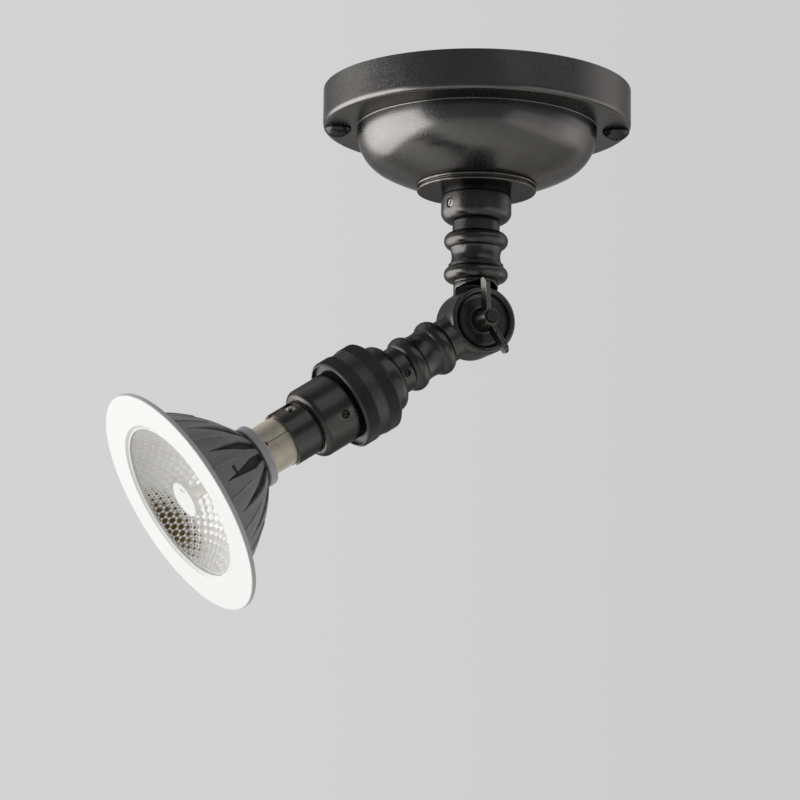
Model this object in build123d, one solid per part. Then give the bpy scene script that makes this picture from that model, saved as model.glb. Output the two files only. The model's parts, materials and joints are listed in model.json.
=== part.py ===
from build123d import *
import os
from math import acos, asin, cos, degrees, radians, sin, sqrt

# Ceiling spotlight: rose, swivelling column, knuckle joint, arm, bayonet lampholder and lamp.
# Millimetres. The origin is the centre of the face on the ceiling, +Z is up.
# The column is drawn under the origin, the arm is drawn hanging straight down from the
# knuckle's centre, and both are then turned to the pose in which the lamp is aimed.

# The pose in which the lamp is aimed
AIM_SWIVEL = 22.5
AIM_TILT = 33.4

# Clearances
RUN_FIT = 0.05
THREAD_FIT = 0.05
MOVE_GAP = 0.3
HALF_GAP = 0.2
CUT_OVER = 1.0

# Rose cover
ROSE_RADIUS = 68.0
ROSE_RIM_HEIGHT = 17.2
ROSE_SHEET = 1.2
ROSE_EDGE_ROUND = 2.0
DOME_RADIUS = 53.0
DOME_WALL = 1.8
DOME_BEND_RADIUS = 19.0
DOME_BEND_ANGLE = 62.0
DOME_CROWN_RADIUS = 85.0

# Boss under the dome
BOSS_RADIUS = 26.7
BOSS_HEIGHT = 3.4
BOSS_GROOVE = 0.7
BOSS_STEP = 0.8

# Bracket and its fixings
BRACKET_THICK = 2.5
BRACKET_WIDTH = 22.0
BRACKET_END_GAP = 1.0
CEILING_HOLE_SPACING = 51.0
CEILING_SLOT_LENGTH = 9.0
CEILING_SLOT_WIDTH = 4.5
CABLE_WINDOW_LENGTH = 26.0
CABLE_WINDOW_WIDTH = 10.0
LEDGE_SCREW_INSET = 6.5
LEDGE_SCREW_RADIUS = 2.0
LEDGE_SCREW_HEAD_RADIUS = 5.95
LEDGE_SCREW_HEAD_HEIGHT = 3.6
LEDGE_SCREW_SHORT = 0.6
LEDGE_HOLE_CLEARANCE = 0.3
SCREW_SLOT_WIDTH = 1.1
SCREW_SLOT_DEPTH = 1.0
HEAD_EDGE_SHARE = 0.3

# Supply terminals
TERMINAL_POLE_PITCH = 7.0
TERMINAL_POLES = 3
TERMINAL_DEPTH = 14.0
TERMINAL_HEIGHT = 11.0
TERMINAL_INNER_EDGE = 36.0
TERMINAL_SCREW_RADIUS = 1.6
TERMINAL_SCREW_LENGTH = 3.0
TERMINAL_SCREW_INSET = 3.5
TERMINAL_SLOT_WIDTH = 0.6
TERMINAL_SLOT_DEPTH = 0.6
TERMINAL_WIRE_HOLE_RADIUS = 1.3
EARTH_SCREW_OFFSET = -42.0
EARTH_SCREW_RADIUS = 2.0
EARTH_HEAD_RADIUS = 3.6
EARTH_HEAD_HEIGHT = 2.6

# Spigot that carries the column
SPIGOT_RADIUS = 5.0
SPIGOT_BORE_RADIUS = 3.2
SPIGOT_RISE = 2.0
SPIGOT_FLANGE_RADIUS = 15.2
SPIGOT_FLANGE_THICK = 1.7
SPIGOT_REACH = 11.9
SPIGOT_GROOVE_DEPTH = 0.9
SPIGOT_WASHER_RADIUS = 9.5
SPIGOT_WASHER_THICK = 1.2
LOCKNUT_ACROSS_FLATS = 15.0
LOCKNUT_THICK = 4.5

# Wires
WIRE_RADIUS = 0.9
WIRE_OFFSET = 1.9
WIRE_BEND_RADIUS = 14.0
WIRE_DROP = 6.5

# Column
COLLAR_RADIUS = 15.5
COLLAR_HEIGHT = 7.8
COLLAR_FOOT_HEIGHT = 4.1
COLLAR_FOOT_BULGE = 1.2
COLLAR_EDGE = 0.5
COLUMN_NECK_RADIUS = 10.4
COLUMN_NECK_HEIGHT = 4.5
COLUMN_BEAD_RADIUS = 14.1
COLUMN_BEAD_HEIGHT = 7.2
COLUMN_LOW_BEAD_HEIGHT = 6.2
COLUMN_WAIST_RADIUS = 10.7
COLUMN_WAIST_END_RADIUS = 11.6
COLUMN_WAIST_HEIGHT = 7.1
COLUMN_STEP_RADIUS = 12.1
COLUMN_STEP_HEIGHT = 1.4
COLUMN_FOOT_HEIGHT = 0.8
SET_SCREW_RADIUS = 2.0
SET_SCREW_ANGLE = 197.0
SET_SCREW_DROP = 4.8
SET_SCREW_SINK = 0.5

# Knuckle
KNUCKLE_DROP = 104.6
KNUCKLE_RADIUS = 15.15
KNUCKLE_NECK_RADIUS = 9.8
KNUCKLE_RELIEF = 2.6
KNUCKLE_DISH_RADIUS = 10.6
KNUCKLE_DISH_DEPTH = 2.4
KNUCKLE_RIM_ROUND = 1.6
KNUCKLE_CAVITY_RADIUS = 11.0
KNUCKLE_CAVITY_DEPTH = 4.2
KNUCKLE_BOSS_RADIUS = 5.2
KNUCKLE_SPIGOT_RADIUS = 7.0
KNUCKLE_SPIGOT_LENGTH = 7.5
KNUCKLE_SOCKET_ROOM = 2.0
KNUCKLE_WIRE_RADIUS = 2.4
KNUCKLE_WIRE_WALL = 1.0
KNUCKLE_WASHER_RADIUS = 14.6
KNUCKLE_WASHER_WIDTH = 2.8
BOLT_RADIUS = 2.5
BOLT_HEAD_RADIUS = 5.2
BOLT_HEAD_HEIGHT = 3.2
BOLT_SQUARE = 6.0
BOLT_SQUARE_DEPTH = 2.0
BOLT_END_PROUD = 0.6
NUT_WASHER_RADIUS = 6.2
NUT_WASHER_THICK = 0.9
NUT_BASE_RADIUS = 5.6
NUT_TIP_RADIUS = 3.7
NUT_HEIGHT = 9.0
NUT_FOOT_HEIGHT = 1.8
WING_REACH = 17.3
WING_RISE = 14.6
WING_THICK = 2.0
WING_END_RADIUS = 2.6
WING_ROOT_DROP = 1.1
WING_ANGLE = 18.0

# Arm, measured down from the knuckle's centre
ARM_START = 19.2
ARM_BEAD_RADIUS = 12.5
ARM_BEAD_HEIGHT = 7.2
ARM_BEAD_FOOT_RADIUS = 10.3
ARM_WAIST_RADIUS = 10.4
ARM_WAIST_END_RADIUS = 11.0
ARM_WAIST_HEIGHT = 8.1
ARM_SPIGOT_RADIUS = 5.0
ARM_SPIGOT_LENGTH = 11.0

# Bayonet lampholder, measured on from the end of the arm
NECK_RADIUS = 10.5
NECK_LENGTH = 6.4
NECK_SCREW_RADIUS = 1.5
NECK_SCREW_ANGLE = 284.0
CAP_STEP_IN = 0.4
CAP_SHOULDER_ROUND = 4.0
CAP_LENGTH = 13.9
CAP_WALL = 1.0
CAP_TOP_THICK = 3.0
BODY_RADIUS = 15.85
BODY_LENGTH = 31.9
BODY_WALL = 2.6
BODY_SPIGOT_LENGTH = 7.0
BODY_SPIGOT_WALL = 1.1
BODY_SHOULDER_ROUND = 3.0
BODY_SEAT_DEPTH = 25.2
BODY_SCREW_RADIUS = 1.7
BODY_SCREW_LENGTH = 2.6
BODY_SCREW_ANGLE = 283.0
BODY_SCREW_DROP = 19.7
SKIRT_WALL = 0.9
SKIRT_LENGTH = 12.7
RING_RADIUS = 20.4
RING_FIT = 0.1
RING_START = 15.3
RING_BAND = 6.9
RING_PLAIN_BAND = 5.0
RING_GROOVE_DEPTH = 0.5
RING_EDGE = 0.7
RING_FRONT_RECESS = 1.6
RING_FRONT_RECESS_RADIUS = 19.0

# Lampholder contacts
INSERT_LENGTH = 20.0
INSERT_TOP = 2.0
PLUNGER_RADIUS = 2.2
PLUNGER_OFFSET = 4.4
PLUNGER_LENGTH = 12.6
PLUNGER_PROUD = 3.6
PLUNGER_TIP_ROUND = 1.1
PLUNGER_ANGLE = 117.0
SPRING_WIRE_RADIUS = 0.25
SPRING_TURNS = 5
TERMINAL_WIDTH = 5.0
TERMINAL_REACH = 6.2
TERMINAL_GAP = 0.7
INSERT_TERMINAL_HEIGHT = 4.0
INSERT_SCREW_RADIUS = 1.2
INSERT_SCREW_HEAD = 1.0
INSERT_SCREW_INSET = 1.55
INSERT_SLOT_WIDTH = 0.6
INSERT_SLOT_DEPTH = 0.5

# Bayonet lamp
LAMP_CAP_RADIUS = 11.0
LAMP_CAP_WALL = 0.4
LAMP_CAP_ROUND = 1.2
LAMP_CAP_SHOWN = 12.7
PIN_RADIUS = 1.0
PIN_REACH = 13.4
PIN_ROOT_DEPTH = 0.8
PIN_ANGLE = 217.0
PIN_FROM_SKIRT_END = 7.2
PIN_FROM_CAP_END = 6.2
TWIST_ANGLE = 33.0
PRESS_TRAVEL = 2.0
SLOT_CLEARANCE = 0.3
CONTACT_RADIUS = 1.9
CONTACT_HEIGHT = 0.8
INSULATOR_RADIUS = 9.4
INSULATOR_THICK = 2.4
DRIVER_WIDTH = 14.0
DRIVER_LENGTH = 18.0
DRIVER_THICK = 1.6

# Lamp housing, measured on from the end of the lamp cap
COLLAR_RING_RADIUS = 14.0
COLLAR_RING_LENGTH = 3.8
SINK_NECK_LENGTH = 9.0
SINK_NECK_WALL = 1.6
SINK_LENGTH = 40.3
SINK_MOUTH_RADIUS = 41.0
SINK_START_RADIUS = 12.2
SINK_BULGE = 3.6
SINK_FLOOR_THICK = 3.0
SINK_FLOOR_DEPTH = 9.0
SINK_RIBS = 16
SINK_RIB_ANGLE = 12.5
SINK_POCKET_NECK_DEPTH = 2.0
SINK_POCKET_DEPTH = 3.0
SINK_POCKET_NECK_WIDTH = 3.0
SINK_POCKET_WIDTH = 5.2
SINK_POCKET_SHOULDER = 9.0
SINK_POCKET_LENGTH = 28.0
SINK_RIDGE_WIDTH = 0.8
SINK_RIDGE_HEIGHT = 0.5
SINK_RIDGE_START = 15.0
SINK_RIDGE_END = 31.0
SINK_NOTCH_WIDTH = 3.6
SINK_NOTCH_LENGTH = 1.8
SINK_NOTCH_DEPTH = 2.0
SINK_NOTCH_DROP = 21.5
SINK_NOTCH_ANGLE = 267.0

# Optics
FRONT_RADIUS = 51.3
FRONT_THICK = 2.0
FRONT_EDGE_ROUND = 0.6
APERTURE_RADIUS = 35.7
BEZEL_WIDTH = 1.4
BEZEL_DEPTH = 0.8
BOWL_WALL = 1.0
BOWL_GAP = 0.4
BOWL_THROAT_RADIUS = 9.5
BOWL_BULGE = 3.4
BOARD_THICK = 1.6
BOARD_RADIUS = 12.0
CHIP_RADIUS = 7.6
CHIP_THICK = 0.8
POST_RADIUS = 2.6
CENTRE_CAP_RADIUS = 8.2
CENTRE_CAP_THICK = 2.2
CENTRE_CAP_ROUND = 0.7
CENTRE_CAP_SINK = 3.5


UPRIGHT = (Align.CENTER, Align.CENTER, Align.MIN)


def outline(start, *steps):
    """A closed face: a step is an end point, a pair of a middle and an end point of an arc, or a curve."""
    edges = []
    here = start
    for step in steps:
        if isinstance(step, Bezier):
            edges.append(step)
            here = tuple(step @ 1)[:2]
        elif isinstance(step[0], tuple):
            edges.append(ThreePointArc(here, step[0], step[1]))
            here = step[1]
        else:
            edges.append(Line(here, step))
            here = step
    edges.append(Line(here, start))
    return make_face(edges)


def turned(start, *steps):
    """A turned piece: its outline gives radius and height, and goes round the vertical axis."""
    return revolve(Plane.XZ * outline(start, *steps), Axis.Z)


def rod(radius, bottom, top):
    """An upright rod between two heights."""
    return Pos(0, 0, bottom) * Cylinder(radius, top - bottom, align=UPRIGHT)


def tube(outer, inner, bottom, top):
    """An upright tube between two heights."""
    return rod(outer, bottom, top) - rod(inner, bottom, top)


def at_angle(angle, shape):
    """Turn a piece about the vertical axis."""
    return Rot(0, 0, angle) * shape


def radial(shape, height):
    """Lay an upright piece along +X at a height."""
    return Pos(0, 0, height) * Rot(0, 90, 0) * shape


def rounded(start, corner, end):
    """The arc step that rounds a square corner between two points equally far from it."""
    share = 1 - sqrt(0.5)
    middle = tuple(c + share * (s + e - 2 * c) for s, c, e in zip(start, corner, end))
    return (middle, end)


def bulge_point(start, end, bulge):
    """The middle of an arc that stands off its chord by a bulge, on the side of a larger radius."""
    chord = sqrt((end[0] - start[0]) ** 2 + (end[1] - start[1]) ** 2)
    across = (start[1] - end[1]) / chord
    along = (end[0] - start[0]) / chord
    middle = ((start[0] + end[0]) / 2, (start[1] + end[1]) / 2)
    return (middle[0] + bulge * across, middle[1] + bulge * along)


# Heights and lengths that follow from the sizes above
ledge = -ROSE_RIM_HEIGHT
ledge_screw_place = ROSE_RADIUS - LEDGE_SCREW_INSET
dome_start = ledge - DOME_WALL
bend_centre = DOME_RADIUS - DOME_BEND_RADIUS
crown_shift = DOME_CROWN_RADIUS - DOME_BEND_RADIUS
crown_centre = bend_centre - crown_shift * cos(radians(DOME_BEND_ANGLE))
crown_height = dome_start + crown_shift * sin(radians(DOME_BEND_ANGLE))
crown_angle = degrees(acos((BOSS_RADIUS - crown_centre) / DOME_CROWN_RADIUS))
dome_bottom = crown_height - DOME_CROWN_RADIUS * sin(radians(crown_angle))
boss_bottom = dome_bottom - BOSS_HEIGHT
flange_bottom = boss_bottom - SPIGOT_FLANGE_THICK
collar_top = flange_bottom - MOVE_GAP
spigot_bottom = flange_bottom - SPIGOT_REACH
spigot_top = dome_bottom + ROSE_SHEET + SPIGOT_WASHER_THICK + LOCKNUT_THICK + SPIGOT_RISE
set_screw_height = collar_top - SET_SCREW_DROP

collar_bottom = collar_top - COLLAR_HEIGHT
neck_top = collar_bottom - COLLAR_FOOT_HEIGHT
bead_top = neck_top - COLUMN_NECK_HEIGHT
waist_top = bead_top - COLUMN_BEAD_HEIGHT
step_top = waist_top - COLUMN_WAIST_HEIGHT
low_bead_top = step_top - COLUMN_STEP_HEIGHT
low_bead_bottom = low_bead_top - COLUMN_LOW_BEAD_HEIGHT
column_bottom = low_bead_bottom - COLUMN_FOOT_HEIGHT

knuckle_half = KNUCKLE_NECK_RADIUS
relief_radius = KNUCKLE_RADIUS + KNUCKLE_RELIEF
dish_floor = knuckle_half - KNUCKLE_DISH_DEPTH
nut_seat = dish_floor + NUT_WASHER_THICK + MOVE_GAP
nut_end = nut_seat + NUT_HEIGHT
wire_passage = HALF_GAP + KNUCKLE_WIRE_RADIUS + KNUCKLE_WIRE_WALL

arm_waist_start = ARM_START + ARM_BEAD_HEIGHT
arm_second_bead = arm_waist_start + ARM_WAIST_HEIGHT
arm_end = arm_second_bead + ARM_BEAD_HEIGHT
cap_start = arm_end + NECK_LENGTH
cap_end = arm_end + NECK_LENGTH + CAP_LENGTH
body_end = cap_end + BODY_LENGTH
skirt_end = body_end + SKIRT_LENGTH
ring_start = arm_end + RING_START
ring_end = ring_start + 2 * RING_BAND + RING_PLAIN_BAND
skirt_bore = LAMP_CAP_RADIUS + MOVE_GAP
skirt_radius = skirt_bore + SKIRT_WALL
cap_radius = BODY_RADIUS - CAP_STEP_IN
body_spigot = cap_radius - CAP_WALL - THREAD_FIT
body_bore = min(BODY_RADIUS - BODY_WALL, body_spigot - BODY_SPIGOT_WALL)
insert_radius = body_bore - THREAD_FIT
insert_face = cap_end + BODY_SEAT_DEPTH
insert_top = insert_face - INSERT_LENGTH
plunger_tip = insert_face + PLUNGER_PROUD
plunger_back = plunger_tip - PLUNGER_LENGTH

pin_height = skirt_end - PIN_FROM_SKIRT_END
lamp_cap_start = pin_height - PIN_FROM_CAP_END
contact_tip = plunger_tip + RUN_FIT
lamp_cap_end = skirt_end + LAMP_CAP_SHOWN
insulator_start = contact_tip + CONTACT_HEIGHT
sink_start = lamp_cap_end + COLLAR_RING_LENGTH
sink_end = lamp_cap_end + SINK_LENGTH
sink_floor = sink_start + SINK_FLOOR_DEPTH
front_face = sink_end + FRONT_THICK
board_face = sink_floor + BOARD_THICK
bowl_mouth_radius = APERTURE_RADIUS - BEZEL_WIDTH / 2
bowl_throat = board_face + CHIP_THICK

insert_screw_place = TERMINAL_GAP + TERMINAL_REACH - INSERT_SCREW_INSET
INSERT_SCREW_SEAT = Pos(0, insert_screw_place, -insert_top + INSERT_TERMINAL_HEIGHT / 2)

COLUMN_PLACE = Rot(0, 0, AIM_SWIVEL)
ARM_PLACE = COLUMN_PLACE * Pos(0, 0, -KNUCKLE_DROP) * Rot(0, 90 - AIM_TILT, 0)


def dome_points(inset, bottom):
    """The dome's two arcs, set in by a wall, from the ledge down to a height."""
    bend = DOME_BEND_RADIUS - inset
    crown = DOME_CROWN_RADIUS - inset
    end_angle = degrees(asin((crown_height - bottom) / crown))

    def on_bend(angle):
        turn = radians(angle)
        return (bend_centre + bend * cos(turn), dome_start - bend * sin(turn))

    def on_crown(angle):
        turn = radians(angle)
        return (crown_centre + crown * cos(turn), crown_height - crown * sin(turn))

    middle_angle = (DOME_BEND_ANGLE + end_angle) / 2
    return [on_bend(0), on_bend(DOME_BEND_ANGLE / 2), on_bend(DOME_BEND_ANGLE),
            on_crown(middle_angle), on_crown(end_angle)]


def rose_cover():
    """Spun cover with a rim, a flat ledge and a dome, open at the ceiling."""
    hole = SPIGOT_RADIUS + THREAD_FIT
    floor = dome_bottom + ROSE_SHEET
    outer = dome_points(0, dome_bottom)
    inner = dome_points(ROSE_SHEET, floor)
    inside = ROSE_RADIUS - ROSE_SHEET
    edge = ROSE_EDGE_ROUND
    edge_start = (ROSE_RADIUS - edge, ledge)
    edge_end = (ROSE_RADIUS, ledge + edge)
    cover = turned(
        (hole, dome_bottom), outer[4], (outer[3], outer[2]), (outer[1], outer[0]),
        (DOME_RADIUS, ledge), edge_start, rounded(edge_start, (ROSE_RADIUS, ledge), edge_end),
        (ROSE_RADIUS, 0), (inside, 0), (inside, ledge + ROSE_SHEET),
        (DOME_RADIUS - ROSE_SHEET, ledge + ROSE_SHEET), inner[0],
        (inner[1], inner[2]), (inner[3], inner[4]), (hole, floor))
    for side in (-1, 1):
        hole_shape = rod(LEDGE_SCREW_RADIUS + LEDGE_HOLE_CLEARANCE, ledge, ledge + ROSE_SHEET)
        cover -= Pos(side * ledge_screw_place, 0, 0) * hole_shape
    return cover


def rose_boss():
    """Stepped plate: two rounded bands with a groove between them, and a narrower foot."""
    hole = SPIGOT_RADIUS + THREAD_FIT
    band = (BOSS_HEIGHT - BOSS_GROOVE) / 2
    first = dome_bottom - band
    second = first - BOSS_GROOVE
    foot = BOSS_RADIUS - BOSS_STEP
    crest = BOSS_STEP / 2
    return turned(
        (hole, dome_bottom), (BOSS_RADIUS - crest, dome_bottom),
        ((BOSS_RADIUS, dome_bottom - band / 2), (BOSS_RADIUS - crest, first)),
        (foot, first), (foot, second),
        ((foot + crest, second - band / 2), (foot - crest, boss_bottom)),
        (hole, boss_bottom))


def ceiling_bracket():
    """Strap with two slots for the ceiling screws, a cable window and tapped holes."""
    length = 2 * (ROSE_RADIUS - ROSE_SHEET - BRACKET_END_GAP)
    strap = SlotOverall(length, BRACKET_WIDTH) - SlotOverall(CABLE_WINDOW_LENGTH, CABLE_WINDOW_WIDTH)
    for side in (-1, 1):
        slot = SlotOverall(CEILING_SLOT_LENGTH, CEILING_SLOT_WIDTH)
        strap -= Pos(side * CEILING_HOLE_SPACING / 2, 0) * slot
        strap -= Pos(side * ledge_screw_place, 0) * Circle(LEDGE_SCREW_RADIUS + THREAD_FIT)
    strap -= Pos(EARTH_SCREW_OFFSET, 0) * Circle(EARTH_SCREW_RADIUS + THREAD_FIT)
    return Pos(0, 0, -BRACKET_THICK) * extrude(strap, BRACKET_THICK)


def domed_head(radius, edge_height, height):
    """Screw head below the plane of its seat: a short straight edge, then part of a sphere."""
    rise = height - edge_height
    sphere = (radius ** 2 + rise ** 2) / (2 * rise)
    half_turn = asin(radius / sphere) / 2
    middle = (sphere * sin(half_turn), -height + sphere * (1 - cos(half_turn)))
    return turned((0, 0), (radius, 0), (radius, -edge_height), (middle, (0, -height)))


def domed_screw(radius, length, head_radius, head_height):
    """Slotted screw with a domed head below the plane of its seat, and its shank above."""
    head = domed_head(head_radius, head_height * HEAD_EDGE_SHARE, head_height)
    slot = Pos(0, 0, -head_height) * Box(2 * head_radius, SCREW_SLOT_WIDTH, 2 * SCREW_SLOT_DEPTH)
    return head - slot + rod(radius, 0, length)


def rose_screws():
    """The two screws that hold the cover to the bracket."""
    length = ROSE_RIM_HEIGHT - LEDGE_SCREW_SHORT
    screw = domed_screw(LEDGE_SCREW_RADIUS, length, LEDGE_SCREW_HEAD_RADIUS, LEDGE_SCREW_HEAD_HEIGHT)
    return [Pos(side * ledge_screw_place, 0, ledge) * screw for side in (-1, 1)]


def earth_screw():
    """Earth screw in the bracket."""
    screw = domed_screw(EARTH_SCREW_RADIUS, BRACKET_THICK, EARTH_HEAD_RADIUS, EARTH_HEAD_HEIGHT)
    return Pos(EARTH_SCREW_OFFSET, 0, -BRACKET_THICK) * screw


def pole_places():
    """Where the terminal block's poles lie across the strap."""
    first = -(TERMINAL_POLES - 1) / 2
    return [(first + pole) * TERMINAL_POLE_PITCH for pole in range(TERMINAL_POLES)]


def terminal_screw_places():
    """Where the terminal block's screws lie, two to a pole."""
    ends = (TERMINAL_SCREW_INSET, TERMINAL_DEPTH - TERMINAL_SCREW_INSET)
    return [(TERMINAL_INNER_EDGE + end, place) for place in pole_places() for end in ends]


def terminal_block():
    """Three-pole block under the bracket, with wire holes and screw wells."""
    width = TERMINAL_POLES * TERMINAL_POLE_PITCH
    bottom = -BRACKET_THICK - TERMINAL_HEIGHT
    block = Pos(TERMINAL_INNER_EDGE, 0, bottom) * Box(
        TERMINAL_DEPTH, width, TERMINAL_HEIGHT, align=(Align.MIN, Align.CENTER, Align.MIN))
    for place in pole_places():
        hole = Pos(TERMINAL_INNER_EDGE, place, -BRACKET_THICK - WIRE_DROP) * Rot(0, 90, 0)
        block -= hole * Cylinder(TERMINAL_WIRE_HOLE_RADIUS, TERMINAL_DEPTH, align=UPRIGHT)
    for x, y in terminal_screw_places():
        block -= Pos(x, y, bottom) * rod(TERMINAL_SCREW_RADIUS + THREAD_FIT, 0, TERMINAL_SCREW_LENGTH)
    return block


def terminal_screws():
    """The screws in the terminal block's wells."""
    bottom = -BRACKET_THICK - TERMINAL_HEIGHT
    screw = rod(TERMINAL_SCREW_RADIUS, 0, TERMINAL_SCREW_LENGTH)
    screw -= Box(2 * TERMINAL_SCREW_RADIUS, TERMINAL_SLOT_WIDTH, 2 * TERMINAL_SLOT_DEPTH)
    return [Pos(x, y, bottom) * screw for x, y in terminal_screw_places()]


def rose_spigot():
    """Hollow spigot with a clamping flange and a groove for the column's set screw."""
    groove = SET_SCREW_RADIUS + MOVE_GAP
    root = SPIGOT_RADIUS - SPIGOT_GROOVE_DEPTH
    spigot = turned(
        (SPIGOT_BORE_RADIUS, spigot_top), (SPIGOT_RADIUS, spigot_top), (SPIGOT_RADIUS, boss_bottom),
        (SPIGOT_FLANGE_RADIUS, boss_bottom), (SPIGOT_FLANGE_RADIUS, flange_bottom),
        (SPIGOT_RADIUS, flange_bottom), (SPIGOT_RADIUS, set_screw_height + groove),
        (root, set_screw_height + groove), (root, set_screw_height - groove),
        (SPIGOT_RADIUS, set_screw_height - groove), (SPIGOT_RADIUS, spigot_bottom),
        (SPIGOT_BORE_RADIUS, spigot_bottom))
    return spigot


def spigot_washer():
    """Washer under the lock nut."""
    floor = dome_bottom + ROSE_SHEET
    return tube(SPIGOT_WASHER_RADIUS, SPIGOT_RADIUS + THREAD_FIT, floor, floor + SPIGOT_WASHER_THICK)


def spigot_locknut():
    """Hexagon nut that clamps the spigot inside the rose."""
    seat = dome_bottom + ROSE_SHEET + SPIGOT_WASHER_THICK
    hexagon = RegularPolygon(LOCKNUT_ACROSS_FLATS / 2, 6, major_radius=False)
    nut = hexagon - Circle(SPIGOT_RADIUS + THREAD_FIT)
    return Pos(0, 0, seat) * extrude(nut, LOCKNUT_THICK)


def swept_wire(*points):
    """A round core along straight runs with one bend radius."""
    path = FilletPolyline(*points, radius=WIRE_BEND_RADIUS)
    start = Plane(origin=path @ 0, z_dir=path % 0)
    return sweep(start * Circle(WIRE_RADIUS), path=path)


def rose_wires():
    """Two cores from the outer poles of the terminal block down the spigot."""
    level = -BRACKET_THICK - WIRE_DROP
    bottom = spigot_bottom + WIRE_RADIUS
    wires = []
    for side, place in ((-1, pole_places()[0]), (1, pole_places()[-1])):
        core = side * WIRE_OFFSET
        start = (TERMINAL_INNER_EDGE - MOVE_GAP, place, level)
        wires.append(swept_wire(start, (0, core, level), (0, core, bottom)))
    return wires


def straight_wires(top, bottom):
    """Two straight cores side by side between two heights."""
    return [Pos(0, side * WIRE_OFFSET, 0) * rod(WIRE_RADIUS, bottom, top) for side in (-1, 1)]


def column_stem():
    """Turned column: collar, neck, bead, waist, bead and foot."""
    bore = SPIGOT_RADIUS + RUN_FIT
    bore_end = spigot_bottom - MOVE_GAP
    socket = KNUCKLE_SPIGOT_RADIUS + THREAD_FIT
    socket_top = column_bottom + KNUCKLE_SPIGOT_LENGTH + KNUCKLE_SOCKET_ROOM
    bead_middle = bead_top - COLUMN_BEAD_HEIGHT / 2
    low_bead_middle = low_bead_top - COLUMN_LOW_BEAD_HEIGHT / 2
    foot_start = (COLLAR_RADIUS, collar_bottom)
    foot_end = (COLUMN_NECK_RADIUS, neck_top)
    stem = turned(
        (bore, collar_top), (COLLAR_RADIUS - COLLAR_EDGE, collar_top),
        (COLLAR_RADIUS, collar_top - COLLAR_EDGE), foot_start,
        (bulge_point(foot_start, foot_end, COLLAR_FOOT_BULGE), foot_end), (COLUMN_NECK_RADIUS, bead_top),
        ((COLUMN_BEAD_RADIUS, bead_middle), (COLUMN_WAIST_END_RADIUS, waist_top)),
        ((COLUMN_WAIST_RADIUS, (waist_top + step_top) / 2), (COLUMN_WAIST_END_RADIUS, step_top)),
        (COLUMN_STEP_RADIUS, step_top), (COLUMN_STEP_RADIUS, low_bead_top),
        ((COLUMN_BEAD_RADIUS, low_bead_middle), (KNUCKLE_NECK_RADIUS, low_bead_bottom)),
        (KNUCKLE_NECK_RADIUS, column_bottom), (socket, column_bottom), (socket, socket_top),
        (SPIGOT_BORE_RADIUS, socket_top), (SPIGOT_BORE_RADIUS, bore_end), (bore, bore_end))
    hole = radial(rod(SET_SCREW_RADIUS + THREAD_FIT, 0, COLLAR_RADIUS + CUT_OVER), set_screw_height)
    return stem - at_angle(SET_SCREW_ANGLE, hole)


def column_set_screw():
    """Slotted set screw whose nose rides in the spigot's groove."""
    nose = SPIGOT_RADIUS - SPIGOT_GROOVE_DEPTH + MOVE_GAP
    end = COLLAR_RADIUS - SET_SCREW_SINK
    screw = rod(SET_SCREW_RADIUS, nose, end)
    screw -= Pos(0, 0, end) * Box(SCREW_SLOT_WIDTH / 2, 2 * SET_SCREW_RADIUS, 2 * SCREW_SLOT_DEPTH)
    return at_angle(SET_SCREW_ANGLE, radial(screw, set_screw_height))


def knuckle_disc():
    """One half of the knuckle, turned about the bolt: a dished disc with a wire cavity."""
    rim = KNUCKLE_RIM_ROUND
    rim_low = knuckle_half - rim
    rim_inner = KNUCKLE_RADIUS - 2 * rim
    rim_top = (KNUCKLE_RADIUS - rim, knuckle_half)
    hole = BOLT_RADIUS + RUN_FIT
    cavity = HALF_GAP + KNUCKLE_CAVITY_DEPTH
    washer_inner = KNUCKLE_WASHER_RADIUS - KNUCKLE_WASHER_WIDTH
    disc = turned(
        (hole, HALF_GAP), (KNUCKLE_RADIUS, HALF_GAP), (KNUCKLE_RADIUS, rim_low),
        rounded((KNUCKLE_RADIUS, rim_low), (KNUCKLE_RADIUS, knuckle_half), rim_top),
        rounded(rim_top, (rim_inner, knuckle_half), (rim_inner, rim_low)),
        (KNUCKLE_DISH_RADIUS, dish_floor), (hole, dish_floor))
    cavity_radius = min(KNUCKLE_CAVITY_RADIUS, washer_inner)
    return disc - tube(cavity_radius, KNUCKLE_BOSS_RADIUS, HALF_GAP, cavity)


def knuckle_half_piece(tail_length):
    """A disc with a round tail above it and a threaded spigot on the tail, front half to -Y."""
    disc = Rot(90, 0, 0) * knuckle_disc()
    tail_top = tail_length + KNUCKLE_SPIGOT_LENGTH
    tail = rod(KNUCKLE_NECK_RADIUS, 0, tail_length) + rod(KNUCKLE_SPIGOT_RADIUS, 0, tail_top)
    tail -= Rot(90, 0, 0) * rod(KNUCKLE_RADIUS - KNUCKLE_RIM_ROUND, -knuckle_half, 2 * knuckle_half)
    relief = Rot(-90, 0, 0) * rod(relief_radius, -HALF_GAP, 2 * knuckle_half)
    piece = disc + (tail - relief)
    passage = Pos(0, -wire_passage, KNUCKLE_BOSS_RADIUS + KNUCKLE_WIRE_RADIUS)
    return piece - passage * rod(KNUCKLE_WIRE_RADIUS, 0, tail_top)


def knuckle_back():
    """Rear half on the column, with a square seat for the bolt."""
    piece = Rot(0, 0, 180) * knuckle_half_piece(KNUCKLE_DROP + column_bottom)
    square = BOLT_SQUARE + 2 * THREAD_FIT
    seat = Pos(0, dish_floor - BOLT_SQUARE_DEPTH / 2, 0) * Box(square, BOLT_SQUARE_DEPTH, square)
    return Pos(0, 0, -KNUCKLE_DROP) * (piece - seat)


def knuckle_front():
    """Front half on the arm, drawn hanging from the knuckle's centre."""
    return Rot(0, 180, 0) * knuckle_half_piece(ARM_START)


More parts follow.
